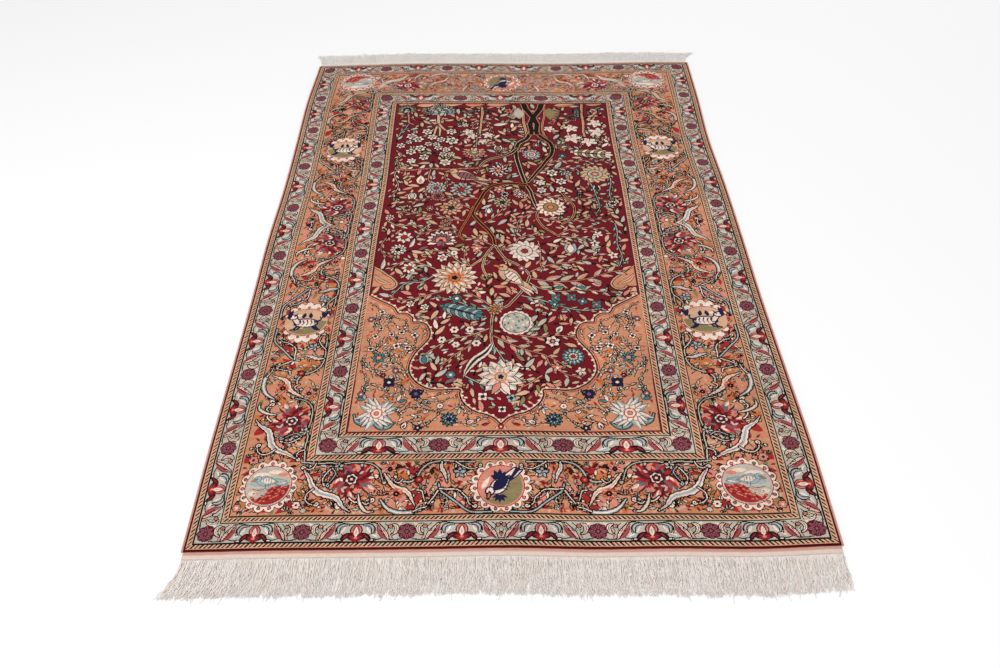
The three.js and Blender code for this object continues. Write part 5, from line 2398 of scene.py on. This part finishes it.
@dataclass(frozen=True)
class Fringe:
    """The loose warp ends past one end: how far they reach and how the outer ones splay."""

    end: End
    node: str
    web_depth: float
    length: float
    splay_left: float
    splay_right: float
    seed: int
    yarns: int = 1600
    in_a_lock: float = 6.0
    stations: int = 21
    radius: float = 0.78
    tip_thinning: float = 0.45
    unevenness: float = 9.0
    own_unevenness: float = 3.2
    strays: float = 0.04  # the share of yarns that reach further
    gather: float = 0.05
    spread: float = 4.6
    crinkle: float = 2.0
    splay_power: int = 8
    sides: int = 3

    def lay_locks(self, share: np.ndarray, rng: np.random.Generator) -> Locks:
        """Part the yarns into locks of uneven width, each with its own shortfall, lean and wave.

        The shortfall and the lean follow slow waves along the fringe as well as chance.

        Args:
            share: Each yarn's place across, as a share.
            rng: Where the chances come from.

        Returns:
            The locks.
        """
        count = int(self.yarns / self.in_a_lock)
        edges = np.sort(rng.uniform(0, 1, count - 1) * 0.25 + np.linspace(0, 1, count + 1)[1:-1] * 0.75)
        edges = (edges - edges[0] * 0.5) / (1 - edges[0] * 0.5)
        of_yarn = np.searchsorted(edges, share)
        place = np.array([share[of_yarn == k].mean() if np.any(of_yarn == k) else 0.5 for k in range(count)])
        slow = sum(np.sin(place * turns + start) * size for turns, start, size in
                   ((9, 1.0, 0.35), (23, 2.0, 0.3), (57, 0.5, 0.25), (140, 4.0, 0.3)))
        return Locks(
            of_yarn,
            place,
            short=self.unevenness * (0.42 - 0.3 * slow + rng.uniform(-0.3, 0.3, count)),
            lean=rng.normal(0, 0.7, count) + 1.6 * np.sin(place * 31 + 2) + 0.6 * np.sin(place * 83),
            wave=rng.uniform(0.4, 1.5, count),
            phase=rng.uniform(0, 2 * np.pi, count),
        )

    def lay_paths(self, layout: Layout, rng: np.random.Generator) -> np.ndarray:
        """Lay the yarns on wavy paths that gather into locks and spread again at their tips.

        At a share t of its length, a yarn has moved towards its lock's centre by a share that rises to its
        most near t = 0.6, waves sideways in step with its lock, and lies between the ground and the yarns
        below it. Its reach past the web falls short of the full length by its lock's shortfall.

        Args:
            layout: Where the rug lies.
            rng: Where the chances come from.

        Returns:
            The points by yarn and station.
        """
        n = self.yarns
        share = (np.arange(n) + 0.5 + rng.uniform(-0.35, 0.35, n)) / n
        locks = self.lay_locks(share, rng)
        stray = rng.uniform(0, 1, n) < self.strays
        own_short = np.abs(rng.normal(0, self.own_unevenness, n))
        reach = self.length - locks.short[locks.of_yarn] - own_short + stray * rng.uniform(3, 11, n)

        t = np.linspace(0, 1, self.stations)[None, :]
        out = reach[:, None] * t
        gather = self.gather * np.sin(np.pi * np.clip(t / 1.15, 0, 1)) ** 0.8
        to_lock = ((locks.place[locks.of_yarn] - share) * layout.plan.width)[:, None] * gather
        own = rng.normal(0, self.spread, n)[:, None] * t**1.5
        wave = locks.each(locks.wave) * np.sin(2 * np.pi * 1.6 * t + locks.each(locks.phase)) * t
        size, turns, start = (rng.uniform(*span, n)[:, None] for span in ((0.3, 1), (3.2, 6), (0, 6.3)))
        own_wave = self.crinkle * size * np.sin(2 * np.pi * turns * t + start) * t**0.7
        power = self.splay_power
        splay = self.splay_right * share**power - self.splay_left * (1 - share) ** power
        splay = splay[:, None] * (out / self.length) ** 2
        x, y = layout.past_end(self.end, np.repeat(share[:, None], self.stations, 1),
                               self.web_depth + 2 * PIECE_GAP + out)
        x = x + to_lock + own + wave + own_wave + splay + locks.each(locks.lean) * t**1.5
        layer = rng.uniform(0, 1, n)[:, None]
        high = 0.9 + (2.3 - 1.1 * t) * layer * np.clip(t * 9, 0, 1) ** 0.5
        z = high + 0.25 * np.sin(6.3 * 2 * t + layer * 40) * np.clip(1.2 - t, 0.1, 1)
        return np.stack([x, y, np.maximum(z, self.radius)], -1)

    def make(self, layout: Layout, finish: bpy.types.Material) -> bpy.types.Object:
        """Make the yarns: three-sided tubes, thinner to their tips, whose corners turn about their paths.

        Args:
            layout: Where the rug lies.
            finish: The yarns' material.

        Returns:
            The piece.
        """
        rng = np.random.default_rng(self.seed)
        path = self.lay_paths(layout, rng)
        n, t = self.yarns, np.linspace(0, 1, self.stations)[None, :]
        ahead = np.gradient(path, axis=1)
        flat = np.stack([-ahead[..., 1], ahead[..., 0], np.zeros(path.shape[:2])], -1)
        flat /= np.linalg.norm(flat, axis=-1, keepdims=True)
        own_size = rng.uniform(0.75, 1.15, n)[:, None]
        thin = (self.radius * (1 - self.tip_thinning * t**4) * own_size)[..., None]
        twist = rng.uniform(0, np.pi / 2, n)[:, None] + 5 * t
        corners = 2 * np.pi / self.sides * np.arange(self.sides)
        rings = [path + thin * (np.cos(twist + corner)[..., None] * flat
                                + np.sin(twist + corner)[..., None] * np.array([0, 0, 1.0]))
                 for corner in corners]
        points = np.stack(rings, 2)
        points[..., 2] = np.clip(points[..., 2], 0.02, None)
        piece = add_piece(f"rug_{self.node}", points, tube_faces(n, self.stations, self.sides), finish)
        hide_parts(self.node)
        return piece


# The photograph's view

@dataclass(frozen=True)
class Studio:
    """The camera, floor and lights. Places are in metres about the unbowed pile's centre."""

    camera_place: Tuple[float, float, float] = (-0.0139, -1.4949, 1.1996)
    camera_turn: Tuple[float, float, float] = (44.957, 0.455, -0.263)  # degrees about X, Y and Z
    focal: float = 31.356
    sensor: float = 36.0
    floor_size: float = 40.0
    floor_drop: float = 0.0003
    floor_grey: float = 0.97
    sky: float = 0.78
    lamps: Tuple[Tuple[float, float, float, float], ...] = ((-0.8, -1.2, 3.0, 38.0), (1.2, 1.6, 3.2, 19.0))
    lamp_size: float = 2.4

    def add_camera(self, layout: Layout) -> None:
        """Set the camera where the photograph was taken from.

        Args:
            layout: Where the rug lies.
        """
        data = bpy.data.cameras.new("camera")
        data.lens = self.focal
        data.sensor_width = self.sensor
        data.clip_end = 100
        camera = bpy.data.objects.new("camera", data)
        shift = (*(layout.shift * MM), 0.0)
        camera.location = [a + b for a, b in zip(self.camera_place, shift)]
        camera.rotation_euler = [math.radians(a) for a in self.camera_turn]
        bpy.context.scene.collection.objects.link(camera)
        bpy.context.scene.camera = camera

    def add_floor(self) -> None:
        """Lay a plain pale floor just below the rug."""
        mesh = bpy.data.meshes.new("floor")
        spots = np.hstack([(SQUARE - 0.5) * self.floor_size, np.full((4, 1), -self.floor_drop)])
        mesh.from_pydata(spots, [], [(0, 1, 2, 3)])
        material = bpy.data.materials.new("floor")
        material.use_nodes = True
        surface = material.node_tree.nodes["Principled BSDF"]
        surface.inputs["Base Color"].default_value = (*(self.floor_grey,) * 3, 1)
        surface.inputs["Roughness"].default_value = 0.9
        surface.inputs["Specular IOR Level"].default_value = 0.1
        mesh.materials.append(material)
        floor = bpy.data.objects.new("floor", mesh)
        bpy.context.scene.collection.objects.link(floor)

    def add_lights(self) -> None:
        """Light the room evenly, with two large soft lamps overhead that point at its middle."""
        world = bpy.data.worlds.new("room")
        world.use_nodes = True
        sky = world.node_tree.nodes["Background"]
        sky.inputs["Color"].default_value = (1, 1, 1, 1)
        sky.inputs["Strength"].default_value = self.sky
        bpy.context.scene.world = world
        for x, y, z, power in self.lamps:
            data = bpy.data.lights.new("lamp", "AREA")
            data.energy = power
            data.size = self.lamp_size
            lamp = bpy.data.objects.new("lamp", data)
            lamp.location = (x, y, z)
            lamp.rotation_euler = (math.atan2(math.hypot(x, y), z), 0, math.atan2(y, x) + 1.5 * math.pi)
            bpy.context.scene.collection.objects.link(lamp)


CORD = YarnFinish("wound yarn", 0.8, 0.1, 0.3, 0.25, (222, 170, 152), (176, 112, 100), (206, 140, 124), 700.0)
COTTON = YarnFinish("cotton warps", 0.85, 0.35, 0.2, 0.25, (255, 251, 246), (240, 225, 216), (250, 236, 224),
                    800.0)
# The far fringe's copy of the cotton has lighter dark and patch tones: painted light that makes up for the
# shade among the far fringe's yarns, seen at a low angle
FAR_COTTON_PAINTED_LIGHTER = replace(COTTON, name="far cotton warps painted lighter", dark=(254, 246, 240), patch=(255, 250, 244))
SELVEDGES = (Selvedge(Side.LEFT, "selvedge_left"), Selvedge(Side.RIGHT, "selvedge_right"))
WEBS = (Web(End.NEAR, "end_web_near", 13.0, 6.0), Web(End.FAR, "end_web_far", 8.0, 2.6))
FRINGES = (
    (Fringe(End.NEAR, "fringe_near", 13.0, 70.0, 24.0, -8.0, 11), COTTON),
    (Fringe(End.FAR, "fringe_far", 8.0, 60.0, 18.0, 34.0, 12), FAR_COTTON_PAINTED_LIGHTER),
)


def main() -> None:
    """Build the rug and its scene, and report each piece."""
    logging.basicConfig(level=logging.INFO, format="%(message)s")
    bpy.context.scene.view_settings.view_transform = "Standard"
    plan = Plan()
    layout = Layout(plan)
    studio = Studio()
    studio.add_camera(layout)
    effects = Effects()
    pile = Pile(plan).make(layout, Design().draw(), PileFinish().make(effects))
    cord, web = CORD.make(effects), WebFinish().make(effects)
    trims = [selvedge.make(layout, cord) for selvedge in SELVEDGES]
    trims += [strip.make(layout, web) for strip in WEBS]
    trims += [fringe.make(layout, cotton.make(effects)) for fringe, cotton in FRINGES]
    for piece in (pile, *trims):
        logging.info("%s: %d faces", piece.name, len(piece.data.polygons))
    studio.add_floor()
    studio.add_lights()


if __name__ == "__main__":
    main()
